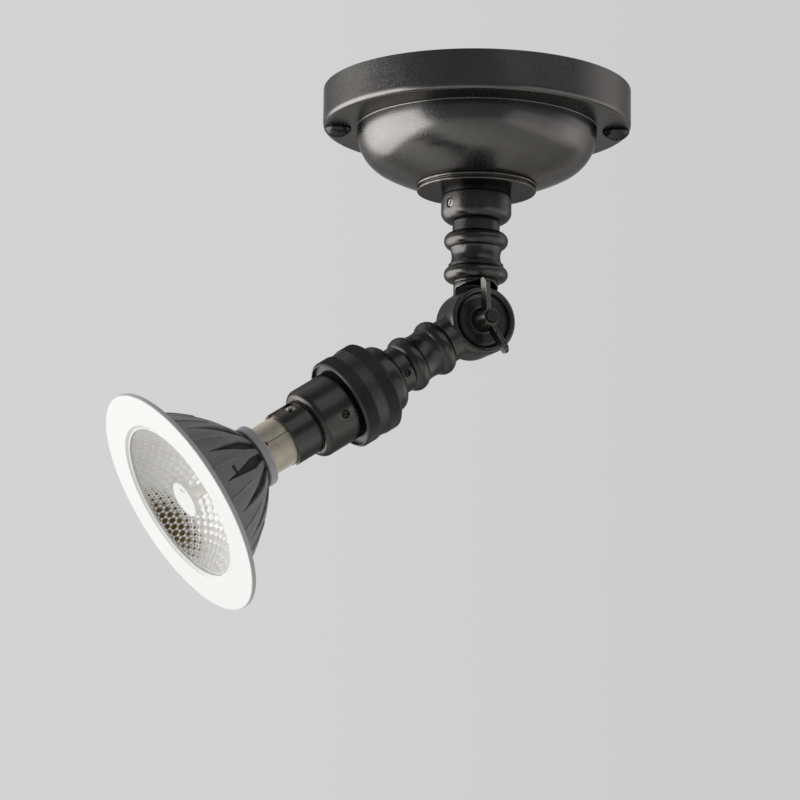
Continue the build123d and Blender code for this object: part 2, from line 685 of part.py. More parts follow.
def knuckle_bolt():
    """Bolt with a domed head and a square neck behind, its end proud of the wing nut."""
    head = domed_head(BOLT_HEAD_RADIUS, BOLT_HEAD_HEIGHT * HEAD_EDGE_SHARE, BOLT_HEAD_HEIGHT)
    neck = Box(BOLT_SQUARE, BOLT_SQUARE, BOLT_SQUARE_DEPTH, align=UPRIGHT)
    shank = rod(BOLT_RADIUS, 0, dish_floor + nut_end + BOLT_END_PROUD)
    bolt = Pos(0, 0, -dish_floor) * (head + neck + shank)
    return Pos(0, 0, -KNUCKLE_DROP) * Rot(90, 0, 0) * bolt


def knuckle_washer():
    """Friction washer held by the rear half."""
    inner = KNUCKLE_WASHER_RADIUS - KNUCKLE_WASHER_WIDTH
    washer = tube(KNUCKLE_WASHER_RADIUS, inner, 0, HALF_GAP)
    return Pos(0, 0, -KNUCKLE_DROP) * Rot(-90, 0, 0) * washer


def nut_washer():
    """Washer in the front half's dish."""
    hole = BOLT_RADIUS + RUN_FIT
    return Rot(90, 0, 0) * tube(NUT_WASHER_RADIUS, hole, dish_floor, dish_floor + NUT_WASHER_THICK)


def wing_nut():
    """Conical hub with two wings that splay outwards."""
    foot = nut_seat + NUT_FOOT_HEIGHT
    hub = turned((0, nut_seat), (NUT_BASE_RADIUS, nut_seat), (NUT_BASE_RADIUS, foot),
                 (NUT_TIP_RADIUS, nut_end), (0, nut_end))
    tip = (WING_REACH - WING_END_RADIUS, nut_seat + WING_RISE - WING_END_RADIUS)
    root_low = (BOLT_RADIUS, foot)
    root_high = (BOLT_RADIUS, nut_end - WING_ROOT_DROP)
    lean = WING_END_RADIUS * sqrt(0.5)
    blade = outline(root_low, (tip[0] + lean, tip[1] - lean),
                    ((tip[0] + lean, tip[1] + lean), (tip[0] - lean, tip[1] + lean)), root_high)
    wing = extrude(Plane.XZ * blade, WING_THICK / 2, both=True)
    nut = hub + wing + Rot(0, 0, 180) * wing
    nut -= rod(BOLT_RADIUS + RUN_FIT, nut_seat, nut_end)
    turned_nut = Rot(90, 0, 0) * Rot(0, 0, 90 + WING_ANGLE) * nut
    return Pos(0, 0, -KNUCKLE_DROP) * turned_nut


def arm_stem():
    """Turned arm: bead, waist and bead, a socket for the knuckle and a spigot for the holder."""
    socket = KNUCKLE_SPIGOT_RADIUS + THREAD_FIT
    socket_end = ARM_START + KNUCKLE_SPIGOT_LENGTH + KNUCKLE_SOCKET_ROOM
    half_bead = ARM_BEAD_HEIGHT / 2
    foot = ARM_BEAD_FOOT_RADIUS
    waist_middle = (arm_waist_start + arm_second_bead) / 2
    spigot_end = arm_end + ARM_SPIGOT_LENGTH
    return turned(
        (socket, -ARM_START), (KNUCKLE_NECK_RADIUS, -ARM_START),
        ((ARM_BEAD_RADIUS, -ARM_START - half_bead), (ARM_WAIST_END_RADIUS, -arm_waist_start)),
        ((ARM_WAIST_RADIUS, -waist_middle), (ARM_WAIST_END_RADIUS, -arm_second_bead)),
        ((ARM_BEAD_RADIUS, -arm_second_bead - half_bead), (foot, -arm_end)),
        (ARM_SPIGOT_RADIUS, -arm_end), (ARM_SPIGOT_RADIUS, -spigot_end),
        (SPIGOT_BORE_RADIUS, -spigot_end), (SPIGOT_BORE_RADIUS, -socket_end), (socket, -socket_end))


def holder_cap():
    """Entry cap: neck, rounded shoulder and a cup that screws on to the body."""
    hole = ARM_SPIGOT_RADIUS + THREAD_FIT
    bore = cap_radius - CAP_WALL
    inside = cap_start + CAP_TOP_THICK
    shoulder_start = (cap_radius - CAP_SHOULDER_ROUND, -cap_start)
    shoulder_end = (cap_radius, -cap_start - CAP_SHOULDER_ROUND)
    cap = turned(
        (hole, -arm_end), (NECK_RADIUS, -arm_end), (NECK_RADIUS, -cap_start), shoulder_start,
        rounded(shoulder_start, (cap_radius, -cap_start), shoulder_end), (cap_radius, -cap_end),
        (bore, -cap_end), (bore, -inside - CAP_SHOULDER_ROUND), (bore - CAP_SHOULDER_ROUND, -inside),
        (hole, -inside))
    screw_hole = rod(NECK_SCREW_RADIUS + THREAD_FIT, 0, NECK_RADIUS + CUT_OVER)
    return cap - at_angle(NECK_SCREW_ANGLE, radial(screw_hole, -arm_end - NECK_LENGTH / 2))


def holder_cap_screw():
    """Slotted set screw in the entry neck, down on the arm's spigot."""
    screw = rod(NECK_SCREW_RADIUS, ARM_SPIGOT_RADIUS, NECK_RADIUS - SET_SCREW_SINK)
    slot = Box(2 * NECK_SCREW_RADIUS, SCREW_SLOT_WIDTH / 2, 2 * SCREW_SLOT_DEPTH)
    screw -= Pos(0, 0, NECK_RADIUS - SET_SCREW_SINK) * slot
    return at_angle(NECK_SCREW_ANGLE, radial(screw, -arm_end - NECK_LENGTH / 2))


def skirt_sector(angle, half_width, low, high):
    """A slot cutter through the skirt's wall, square in plan, at an angle round the axis."""
    depth = skirt_radius + CUT_OVER - skirt_bore / 2
    block = Pos(skirt_bore / 2, 0, -high) * Box(
        depth, 2 * half_width, high - low, align=(Align.MIN, Align.CENTER, Align.MIN))
    return at_angle(angle, block)


def bayonet_slot(angle):
    """One bayonet slot: a leg in from the skirt's end, and a hook back to the pin's seat."""
    half_width = PIN_RADIUS + SLOT_CLEARANCE
    top = pin_height - PRESS_TRAVEL - half_width
    low = pin_height + half_width
    leg = skirt_sector(angle - TWIST_ANGLE, half_width, top, skirt_end)
    seat = skirt_sector(angle, half_width, top, low)
    section = Pos(skirt_radius, -(top + low) / 2) * Rectangle(skirt_radius, low - top)
    start = at_angle(angle - TWIST_ANGLE, Plane.XZ * section)
    return leg + seat + revolve(start, Axis.Z, TWIST_ANGLE)


def holder_body():
    """Body that screws into the cap, a rounded shoulder and a skirt with two bayonet slots."""
    spigot_start = cap_end - BODY_SPIGOT_LENGTH
    shoulder_start = (BODY_RADIUS, -body_end + BODY_SHOULDER_ROUND)
    shoulder_end = (BODY_RADIUS - BODY_SHOULDER_ROUND, -body_end)
    body = turned(
        (body_bore, -spigot_start), (body_spigot, -spigot_start), (body_spigot, -cap_end),
        (BODY_RADIUS, -cap_end), shoulder_start,
        rounded(shoulder_start, (BODY_RADIUS, -body_end), shoulder_end),
        (skirt_radius, -body_end), (skirt_radius, -skirt_end), (skirt_bore, -skirt_end),
        (skirt_bore, -insert_face), (body_bore, -insert_face))
    for half_turn in (0, 180):
        body -= bayonet_slot(PIN_ANGLE + half_turn)
    hole = rod(BODY_SCREW_RADIUS + THREAD_FIT, BODY_RADIUS - BODY_SCREW_LENGTH, BODY_RADIUS + CUT_OVER)
    return body - at_angle(BODY_SCREW_ANGLE, radial(hole, -cap_end - BODY_SCREW_DROP))


def holder_body_screw():
    """Small slotted screw sunk in the side of the body."""
    end = BODY_RADIUS - SET_SCREW_SINK
    screw = rod(BODY_SCREW_RADIUS, BODY_RADIUS - BODY_SCREW_LENGTH, end)
    screw -= Pos(0, 0, end) * Box(SCREW_SLOT_WIDTH / 2, 2 * BODY_SCREW_RADIUS, SCREW_SLOT_DEPTH)
    return at_angle(BODY_SCREW_ANGLE, radial(screw, -cap_end - BODY_SCREW_DROP))


def shade_ring():
    """Ring with two bands, a groove between them and a recess in its front."""
    bore = BODY_RADIUS + RING_FIT
    groove = RING_RADIUS - RING_GROOVE_DEPTH
    first = ring_start + RING_BAND
    second = first + RING_PLAIN_BAND
    recess = ring_end - RING_FRONT_RECESS
    return turned(
        (bore, -ring_start), (RING_RADIUS - RING_EDGE, -ring_start), (RING_RADIUS, -ring_start - RING_EDGE),
        (RING_RADIUS, -first), (groove, -first), (groove, -second), (RING_RADIUS, -second),
        (RING_RADIUS, -ring_end + RING_EDGE), (RING_RADIUS - RING_EDGE, -ring_end),
        (RING_FRONT_RECESS_RADIUS, -ring_end), (RING_FRONT_RECESS_RADIUS, -recess), (bore, -recess))


def pair(shape, offset, angle):
    """Two copies of a piece, either side of the axis."""
    return [at_angle(angle + half_turn, Pos(offset, 0, 0) * shape) for half_turn in (0, 180)]


def holder_insert():
    """Moulded insert with two bores for the sprung contacts."""
    insert = rod(insert_radius, -insert_face, -insert_top)
    bore = rod(PLUNGER_RADIUS + RUN_FIT, -insert_face, -insert_top - INSERT_TOP)
    for hole in pair(bore, PLUNGER_OFFSET, PLUNGER_ANGLE):
        insert -= hole
    return insert


def insert_terminals():
    """Two brass terminals on the insert, under the ends of the wires."""
    block = Box(TERMINAL_WIDTH, TERMINAL_REACH, INSERT_TERMINAL_HEIGHT,
                align=(Align.CENTER, Align.MIN, Align.MIN))
    placed = Pos(0, TERMINAL_GAP, -insert_top) * block
    placed -= INSERT_SCREW_SEAT * rod(INSERT_SCREW_RADIUS + THREAD_FIT, 0, INSERT_TERMINAL_HEIGHT)
    return [at_angle(half_turn, placed) for half_turn in (0, 180)]


def insert_screws():
    """The screws of the two brass terminals."""
    top = INSERT_TERMINAL_HEIGHT / 2 + INSERT_SCREW_HEAD
    screw = rod(INSERT_SCREW_RADIUS, 0, top)
    screw -= Pos(0, 0, top) * Box(2 * INSERT_SCREW_RADIUS, INSERT_SLOT_WIDTH, 2 * INSERT_SLOT_DEPTH)
    return [at_angle(half_turn, INSERT_SCREW_SEAT * screw) for half_turn in (0, 180)]


def contact_plungers():
    """Two sprung contacts with rounded tips."""
    tip_start = (PLUNGER_RADIUS, -plunger_tip + PLUNGER_TIP_ROUND)
    tip_end = (PLUNGER_RADIUS - PLUNGER_TIP_ROUND, -plunger_tip)
    plunger = turned((0, -plunger_back), (PLUNGER_RADIUS, -plunger_back), tip_start,
                     rounded(tip_start, (PLUNGER_RADIUS, -plunger_tip), tip_end), (0, -plunger_tip))
    return pair(plunger, PLUNGER_OFFSET, PLUNGER_ANGLE)


def plunger_springs():
    """Coil springs between the insert's end wall and the contacts."""
    top = insert_top + INSERT_TOP + SPRING_WIRE_RADIUS
    length = plunger_back - SPRING_WIRE_RADIUS - top
    radius = PLUNGER_RADIUS - 2 * SPRING_WIRE_RADIUS
    path = Helix(length / SPRING_TURNS, length, radius)
    start = Plane(origin=path @ 0, z_dir=path % 0)
    coil = sweep(start * Circle(SPRING_WIRE_RADIUS), path=path, is_frenet=True)
    return pair(Pos(0, 0, -top - length) * coil, PLUNGER_OFFSET, PLUNGER_ANGLE)


def lamp_cap():
    """Bayonet cap shell, open towards the lamp, with holes for the pins."""
    inner = LAMP_CAP_RADIUS - LAMP_CAP_WALL
    edge = lamp_cap_start + LAMP_CAP_ROUND
    edge_start = (LAMP_CAP_RADIUS - LAMP_CAP_ROUND, -lamp_cap_start)
    edge_end = (LAMP_CAP_RADIUS, -edge)
    shell = turned(
        (INSULATOR_RADIUS, -lamp_cap_start), edge_start,
        rounded(edge_start, (LAMP_CAP_RADIUS, -lamp_cap_start), edge_end), (LAMP_CAP_RADIUS, -lamp_cap_end),
        (inner, -lamp_cap_end), (inner, -edge), (INSULATOR_RADIUS, -edge))
    hole_reach = LAMP_CAP_RADIUS + CUT_OVER
    hole = radial(rod(PIN_RADIUS, -hole_reach, hole_reach), -pin_height)
    return shell - at_angle(PIN_ANGLE, hole)


def lamp_pins():
    """The two bayonet pins."""
    pin = radial(rod(PIN_RADIUS, LAMP_CAP_RADIUS - PIN_ROOT_DEPTH, PIN_REACH), -pin_height)
    return [at_angle(PIN_ANGLE + half_turn, pin) for half_turn in (0, 180)]


def cap_insulator():
    """Insulating disc in the end of the cap."""
    return rod(INSULATOR_RADIUS, -insulator_start - INSULATOR_THICK, -insulator_start)


def lamp_contacts():
    """Two solder contacts on the insulator."""
    pad = rod(CONTACT_RADIUS, -insulator_start, -contact_tip)
    return pair(pad, PLUNGER_OFFSET, PLUNGER_ANGLE)


def driver_board():
    """Circuit board that stands in the cap on the insulator."""
    top = insulator_start + INSULATOR_THICK
    return Pos(0, 0, -top - DRIVER_LENGTH) * Box(DRIVER_WIDTH, DRIVER_THICK, DRIVER_LENGTH, align=UPRIGHT)


def sink_points(start_inset, end_inset):
    """The housing's outer curve, set in at each end, from its collar to its mouth."""
    start = (SINK_START_RADIUS - start_inset, -sink_start)
    end = (SINK_MOUTH_RADIUS - end_inset, -sink_end)
    return start, bulge_point(start, end, SINK_BULGE), end


def bowl_points(outset):
    """Throat, control point and mouth of the bowl's parabola, set out by a wall."""
    start = (BOWL_THROAT_RADIUS + outset, -bowl_throat)
    end = (bowl_mouth_radius + outset, -sink_end)
    return start, bulge_point(start, end, 2 * BOWL_BULGE), end


def housing_block():
    """The housing before its pockets: neck, collar, bell, and hollows for driver and bowl."""
    neck = LAMP_CAP_RADIUS - LAMP_CAP_WALL - THREAD_FIT
    neck_bore = neck - SINK_NECK_WALL
    neck_start = lamp_cap_end - SINK_NECK_LENGTH
    start, middle, end = sink_points(0, 0)
    bowl_start, bowl_control, bowl_end = bowl_points(BOWL_WALL + BOWL_GAP)
    floor_back = sink_floor - SINK_FLOOR_THICK
    return turned(
        (neck_bore, -neck_start), (neck, -neck_start), (neck, -lamp_cap_end),
        (COLLAR_RING_RADIUS, -lamp_cap_end), (COLLAR_RING_RADIUS, -sink_start), start, (middle, end),
        bowl_end, Bezier(bowl_end, bowl_control, bowl_start), (BOARD_RADIUS + BOWL_GAP, -bowl_throat),
        (BOARD_RADIUS + BOWL_GAP, -sink_floor), (0, -sink_floor), (0, -floor_back), (neck_bore, -floor_back))


def outside_of(start_inset, end_inset):
    """Everything outside the housing's curve set in at each end, between collar and mouth."""
    start, middle, end = sink_points(start_inset, end_inset)
    outside = SINK_MOUTH_RADIUS + FRONT_RADIUS
    return turned(start, (middle, end), (outside, -sink_end), (outside, -sink_start))


def rib_places():
    """Angles of the ribs round the housing."""
    return [SINK_RIB_ANGLE + rib * 360 / SINK_RIBS for rib in range(SINK_RIBS)]


def heatsink():
    """Finned housing: kite-shaped pockets between ribs, a thin ridge on each rib and a notch."""
    block = housing_block()
    neck_half = SINK_POCKET_NECK_WIDTH / 2
    half = SINK_POCKET_WIDTH / 2
    flat = outline((-neck_half, 0), (neck_half, 0), (half, -SINK_POCKET_SHOULDER),
                   (0, -SINK_POCKET_LENGTH), (-half, -SINK_POCKET_SHOULDER))
    reach = SINK_MOUTH_RADIUS + SINK_POCKET_DEPTH
    wedge = Pos(0, 0, -sink_start) * extrude(Plane.YZ * flat, reach)
    ridge_length = SINK_RIDGE_END - SINK_RIDGE_START
    ridge = Pos(0, 0, -sink_start - SINK_RIDGE_END) * Box(
        reach, SINK_RIDGE_WIDTH, ridge_length, align=(Align.MIN, Align.CENTER, Align.MIN))
    pockets = outside_of(SINK_POCKET_NECK_DEPTH, SINK_POCKET_DEPTH)
    crest = outside_of(0, 0) - outside_of(-SINK_RIDGE_HEIGHT, -SINK_RIDGE_HEIGHT)
    half_pitch = 180 / SINK_RIBS
    for place in rib_places():
        block -= at_angle(place + half_pitch, wedge) & pockets
    for place in rib_places():
        block += at_angle(place, ridge) & crest
    notch = Pos(0, 0, -sink_start - SINK_NOTCH_DROP) * Box(
        reach, SINK_NOTCH_WIDTH, SINK_NOTCH_LENGTH, align=(Align.MIN, Align.CENTER, Align.CENTER))
    return block - (at_angle(SINK_NOTCH_ANGLE, notch) & outside_of(SINK_NOTCH_DEPTH, SINK_NOTCH_DEPTH))


def front_ring():
    """Flat ring with a rounded outer edge and a stepped bezel round the bowl."""
    inner = bowl_mouth_radius
    edge_start = (FRONT_RADIUS, -front_face + FRONT_EDGE_ROUND)
    edge_end = (FRONT_RADIUS - FRONT_EDGE_ROUND, -front_face)
    return turned(
        (inner, -sink_end), (FRONT_RADIUS, -sink_end), edge_start,
        rounded(edge_start, (FRONT_RADIUS, -front_face), edge_end),
        (APERTURE_RADIUS + BEZEL_WIDTH, -front_face), (APERTURE_RADIUS, -front_face + BEZEL_DEPTH),
        (inner, -front_face + BEZEL_DEPTH))


def reflector():
    """Thin parabolic bowl behind the ring."""
    start, control, end = bowl_points(0)
    back_start, back_control, back_end = bowl_points(BOWL_WALL)
    return turned(start, Bezier(start, control, end), back_end, Bezier(back_end, back_control, back_start))


def led_board():
    """Round board on the housing's floor."""
    return rod(BOARD_RADIUS, -board_face, -sink_floor)


def led_chip():
    """Ring-shaped light source round the foot of the post."""
    return tube(CHIP_RADIUS, POST_RADIUS + THREAD_FIT, -board_face - CHIP_THICK, -board_face)


def centre_post():
    """Post that carries the centre cap."""
    return rod(POST_RADIUS, -front_face + CENTRE_CAP_SINK + CENTRE_CAP_THICK, -board_face)


def centre_cap():
    """Round cap in front of the light source."""
    back = -front_face + CENTRE_CAP_SINK + CENTRE_CAP_THICK
    face = -front_face + CENTRE_CAP_SINK
    edge_start = (CENTRE_CAP_RADIUS, face + CENTRE_CAP_ROUND)
    edge_end = (CENTRE_CAP_RADIUS - CENTRE_CAP_ROUND, face)
    return turned((0, back), (CENTRE_CAP_RADIUS, back), edge_start,
                  rounded(edge_start, (CENTRE_CAP_RADIUS, face), edge_end), (0, face))


FIXED = Pos(0, 0, 0)
socket_roof = column_bottom + KNUCKLE_SPIGOT_LENGTH + KNUCKLE_SOCKET_ROOM
arm_socket_end = ARM_START + KNUCKLE_SPIGOT_LENGTH + KNUCKLE_SOCKET_ROOM
terminal_top = insert_top - INSERT_TERMINAL_HEIGHT

PIECES = {
    "ceiling_bracket": (FIXED, ceiling_bracket()),
    "rose_cover": (FIXED, rose_cover()),
    "rose_screws": (FIXED, rose_screws()),
    "rose_boss": (FIXED, rose_boss()),
    "rose_spigot": (FIXED, rose_spigot()),
    "spigot_washer": (FIXED, spigot_washer()),
    "spigot_locknut": (FIXED, spigot_locknut()),
    "terminal_block": (FIXED, terminal_block()),
    "terminal_screws": (FIXED, terminal_screws()),
    "earth_screw": (FIXED, earth_screw()),
    "rose_wires": (FIXED, rose_wires()),
    "column_stem": (COLUMN_PLACE, column_stem()),
    "column_set_screw": (COLUMN_PLACE, column_set_screw()),
    "knuckle_back": (COLUMN_PLACE, knuckle_back()),
    "knuckle_bolt": (COLUMN_PLACE, knuckle_bolt()),
    "knuckle_washer": (COLUMN_PLACE, knuckle_washer()),
    "column_wires": (COLUMN_PLACE, straight_wires(spigot_bottom - MOVE_GAP, socket_roof)),
    "wing_nut": (COLUMN_PLACE, wing_nut()),
    "knuckle_front": (ARM_PLACE, knuckle_front()),
    "nut_washer": (ARM_PLACE, nut_washer()),
    "arm_stem": (ARM_PLACE, arm_stem()),
    "arm_wires": (ARM_PLACE, straight_wires(-arm_socket_end, -terminal_top)),
    "holder_cap": (ARM_PLACE, holder_cap()),
    "holder_cap_screw": (ARM_PLACE, holder_cap_screw()),
    "holder_body": (ARM_PLACE, holder_body()),
    "holder_body_screw": (ARM_PLACE, holder_body_screw()),
    "holder_insert": (ARM_PLACE, holder_insert()),
    "insert_terminals": (ARM_PLACE, insert_terminals()),
    "insert_screws": (ARM_PLACE, insert_screws()),
    "plunger_springs": (ARM_PLACE, plunger_springs()),
    "shade_ring": (ARM_PLACE, shade_ring()),
    "contact_plungers": (ARM_PLACE, contact_plungers()),
    "lamp_cap": (ARM_PLACE, lamp_cap()),
    "lamp_pins": (ARM_PLACE, lamp_pins()),
    "cap_insulator": (ARM_PLACE, cap_insulator()),
    "lamp_contacts": (ARM_PLACE, lamp_contacts()),
    "driver_board": (ARM_PLACE, driver_board()),
    "heatsink": (ARM_PLACE, heatsink()),
    "front_ring": (ARM_PLACE, front_ring()),
    "reflector": (ARM_PLACE, reflector()),
    "led_board": (ARM_PLACE, led_board()),
    "led_chip": (ARM_PLACE, led_chip()),
    "centre_post": (ARM_PLACE, centre_post()),
    "centre_cap": (ARM_PLACE, centre_cap()),
}

os.makedirs("parts", exist_ok=True)
for name, (place, shape) in PIECES.items():
    solids = shape if isinstance(shape, list) else [shape]
    placed = [solid for piece in solids for solid in (place * piece).solids()]
    export_step(Compound(placed), f"parts/{name}.step")
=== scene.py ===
"""Dresses the solids of a bronze ceiling spotlight and sets a plain pale stage round it."""
import json
import math

import bmesh
import bpy
import numpy
from bpy.props import FloatProperty, FloatVectorProperty, IntProperty, PointerProperty
from mathutils import Matrix, Vector


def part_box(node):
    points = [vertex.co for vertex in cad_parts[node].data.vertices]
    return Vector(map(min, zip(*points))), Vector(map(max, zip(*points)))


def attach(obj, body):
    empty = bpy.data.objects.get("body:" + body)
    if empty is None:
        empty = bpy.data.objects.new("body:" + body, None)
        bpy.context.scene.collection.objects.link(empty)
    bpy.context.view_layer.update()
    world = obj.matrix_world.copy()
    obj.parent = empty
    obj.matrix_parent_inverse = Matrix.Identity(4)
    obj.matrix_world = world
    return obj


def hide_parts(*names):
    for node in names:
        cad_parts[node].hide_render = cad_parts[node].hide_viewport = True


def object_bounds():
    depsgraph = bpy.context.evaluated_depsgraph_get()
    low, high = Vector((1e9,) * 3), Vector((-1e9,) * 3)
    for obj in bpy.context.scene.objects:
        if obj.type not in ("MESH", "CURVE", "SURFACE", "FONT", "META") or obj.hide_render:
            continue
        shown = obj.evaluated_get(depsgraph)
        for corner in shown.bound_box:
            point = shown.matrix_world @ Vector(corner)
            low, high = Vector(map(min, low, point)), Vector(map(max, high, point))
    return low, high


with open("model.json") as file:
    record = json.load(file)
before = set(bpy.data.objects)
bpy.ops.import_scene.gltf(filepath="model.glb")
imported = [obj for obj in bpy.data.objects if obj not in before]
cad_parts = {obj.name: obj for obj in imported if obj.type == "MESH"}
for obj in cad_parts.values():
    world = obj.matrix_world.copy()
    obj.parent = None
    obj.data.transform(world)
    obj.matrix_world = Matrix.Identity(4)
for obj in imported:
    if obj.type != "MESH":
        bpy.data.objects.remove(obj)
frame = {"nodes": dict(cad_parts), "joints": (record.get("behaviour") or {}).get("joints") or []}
cad_box = [list(corner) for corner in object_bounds()]

bl_info = {
    "name": "Ceiling spotlight",
    "version": (1, 0, 0),
    "blender": (4, 5, 0),
    "location": "View3D > Sidebar > Spotlight",
    "description": "Dresses the solids of a bronze ceiling spotlight and sets its stage",
    "category": "Object",
}

MM = 0.001
FULL_TURN = 2 * math.pi

# Finishes: how much of the sheen at a glancing angle the patina leaves, how much smoother its rubbed edges
# are, how far the nickel and the bowl's plating shine as metal (the rest scatters, as of a hazy coat), how
# strongly the nickel's tarnish shows, how far the housing's coat mirrors, how dark the painted shade in its
# pockets is, and the tint of aged white plastic
EDGE_SHEEN = (0.35, 0.35, 0.35)
RUB_POLISH = 0.12
NICKEL_METAL = 0.35
MIRROR_METAL = 0.12
STAIN_SHARE = 0.4
COAT_GLOSS = 0.25
PAINTED_POCKET_SHADE = 0.15
AGED_WHITE = (0.985, 0.975, 0.95)

# Values of the fine grain between which a finish's roughness follows it
GRAIN_SPAN = (0.3, 0.7)

# Painted reflection: warm dark glints painted on the crowns of the bowl's facets, fixed to the bowl: the
# middle of the patch they fill, from the centre cap, its half length and half width, the ways these run, and
# the glints' two tones
PAINTED_REFLECTION_ASIDE = (-8.5 * MM, 0.0, -7.0 * MM)
PAINTED_REFLECTION_LONG = 18 * MM
PAINTED_REFLECTION_WIDE = 8.5 * MM
PAINTED_REFLECTION_WAY = (0.67, 0.0, -0.74)
PAINTED_REFLECTION_ACROSS = (0.74, 0.0, 0.67)
PAINTED_REFLECTION_DARK = (0.035, 0.027, 0.012)
PAINTED_REFLECTION_WARM = (0.21, 0.135, 0.03)

# Squared distances from the patch's middle, in its half sizes, between which it fades, and the sums of crown
# and patch at which a painted glint starts and is full
PAINTED_REFLECTION_FADE = (0.2, 1.4)
PAINTED_REFLECTION_EDGE = (1.05, 1.5)

# Turned outlines: how finely they are followed and how their corners are softened
EDGE_ROUND = 0.25 * MM
ARC_STEPS = 14
CORNER_STEPS = 4
CORNER_ROOM = 0.3
CORNER_HOLD = 0.4
SMOOTH_TURN = math.radians(14)
SHARP_ANGLE = math.radians(38)

# Sides of the turned pieces
WIDE_SIDES = 224
BODY_SIDES = 160
SIDES = 128
CAP_SIDES = 96
SCREW_SIDES = 48
GRUB_SIDES = 40
PIN_SIDES = 32
DOT_SIDES = 24

# How near points have to lie to become one, in a mesh and between repeated pieces
MERGE_REACH = MM / 1000
COPY_REACH = MM / 200

# How sharply a point has to stand out before a finish rubs off there, how much more until it is bare, both
# in 1/mm, and the least square of an edge's length
RUB_START = 0.12
RUB_FULL = 1.3
LEAST_SQUARE = 1e-14

# Cast pieces: how far and how often they are smoothed, and how much finer the wing nut's grid is
CAST_SMOOTHING = 0.5
KNUCKLE_ROUNDS = 10
WING_ROUNDS = 6
WING_GRID = 0.7

# Ledge screws: shank as a share of the head, upright edge and swell as shares of the head's height, and how
# far the slots are turned
SHANK_SHARE = 1 / 3
HEAD_EDGE = 1 / 6
HEAD_SWELL = 1 / 4.5
LEDGE_SLOT_TURN = math.radians(8)

# Set screws: turn of their slots, clearance and countersink of their holes, width and depth of the slots
SLOT_TURN = math.radians(70)
HOLE_CLEARANCE = 0.07 * MM
HOLE_OVER = 0.6 * MM
GRUB_SLOT = 0.6 * MM
GRUB_SLOT_DEPTH = 0.7 * MM

# Lampholder: gaps to the lamp's cap and to the ring, steps that cut the bayonet slot round its hook, and
# how deep the knurl's points sit in the ring
CAP_GAP = MM / 3
RING_GAP = MM / 10
HOOK_CUTS = 4
KNURL_SINK = 0.03 * MM

# Soldered seam of the lamp cap, and the dot at its end
SEAM_ANGLE = math.radians(255)
SEAM_RISE = 0.06 * MM
SEAM_WIDTH = 0.32 * MM
SEAM_DOT = 1.1 * MM
DOT_RISE = 0.24 * MM

# Lamp housing: slope of its pockets' walls, lip at their top, depth from which painted shade darkens them,
# rows of the mesh, and the notch (wide, tall, deep)
WALL_SLOPE = 0.12 * MM
POCKET_LIP = MM / 50
PAINTED_SHADE_DEPTH = MM / 10
SECTOR_ROWS = 34
NOTCH = (3.6 * MM, 1.8 * MM, 2.0 * MM)
NOTCH_DROP = 21.5 * MM
NOTCH_ANGLE = math.radians(267)

# Bowl: side of the grid it is cut from, in radii, pitch of the grid's rows and how far facets may reach past
# the bowl's edges, in cells, and each facet's swell in steps: a share of its rise, a share of its size and
# how much of a crown it is
GRID_ROOM = 2.3
ROW_SHARE = math.sqrt(0.75)
CELL_MARGIN = 0.4
PILLOW_STEPS = ((0.62, 0.74, 0.5), (0.38, 0.5, 1.0))

# Slit of the centre cap
SLIT = (0.75 * MM, 3.4 * MM, 1.2 * MM)
SLIT_PLACE = 5.0 * MM
SLIT_ANGLE = math.radians(220)

# Stage, in metres: the floor, how much paler it is shown so that it meets the backdrop, and each soft
# light's direction, distance and size
FLOOR_DEPTH = 2.4
FLOOR_SIZE = 9.0
FLOOR_GRID = 8
FLOOR_LIFT = (0.40, 0.40, 0.40)
LIGHTS = {
    "key": (Vector((-0.95, 0.13, -0.28)), 2.6, (4.9, 2.7)),
    "fill": (Vector((0.91, -0.24, -0.34)), 1.7, (3.2, 1.2)),
    "upper": (Vector((0.58, -0.52, 0.75)), 1.7, (1.7, 1.2)),
}

# Spans of directions, front to back and left to right, over which the room turns into the backdrop and the
# backdrop into its far side
BACKDROP_SPAN = (-0.25, 0.45)
FAR_SIDE_SPAN = (-0.05, 0.1)

# Lays a turned piece's axis along X
SIDEWAYS = Matrix.Rotation(math.pi / 2, 4, "Y")

joints = {joint["name"]: joint for joint in frame["joints"]}
knuckle = Vector(joints["arm_tilt"]["pos_m"])
bolt_axis = Vector(joints["arm_tilt"]["axis"])
arm_axis = Vector(joints["shade_ring_turn"]["axis"])


def place_along(origin, down):
    """A frame at a point whose -Z runs down a turned piece and whose -Y faces the wing nut."""
    up = -down.normalized()
    rear = -bolt_axis.normalized()
    side = rear.cross(up)
    return Matrix.Translation(origin) @ Matrix((side, rear, up)).transposed().to_4x4()


origin_place = Matrix.Identity(4)
rose_place = origin_place
column_place = place_along(Vector((0, 0, 0)), Vector((0, 0, -1)))
arm_place = place_along(knuckle, arm_axis)


def points_in(node, place):
    """A node's points in a turned piece's frame."""
    back = place.inverted()
    return [back @ vertex.co for vertex in frame["nodes"][node].data.vertices]


class Span:
    """Lowest and highest point of a node in a turned piece's frame, and its radius."""

    def __init__(self, node, place):
        points = points_in(node, place)
        self.low = min(point.z for point in points)
        self.high = max(point.z for point in points)
        self.radius = max(point.xy.length for point in points)


# Sizes and colours that a user would change

def length(name, description, millimetres):
    """A length that a user may set, given in millimetres."""
    return FloatProperty(name=name, description=description, default=millimetres * MM, subtype="DISTANCE",
                         precision=5)


def colour(name, description, red, green, blue):
    """A colour that a user may set, as linear light."""
    return FloatVectorProperty(name=name, description=description, default=(red, green, blue),
                               subtype="COLOR", size=3, min=0, max=1)


def angle(name, description, degrees):
    """An angle that a user may set, given in degrees."""
    return FloatProperty(name=name, description=description, default=math.radians(degrees), subtype="ANGLE")


def count(name, description, number):
    """A whole number that a user may set."""
    return IntProperty(name=name, description=description, default=number)


def power(name, description, watts):
    """A light's power that a user may set, in watts."""
    return FloatProperty(name=name, description=description, default=watts, subtype="POWER")


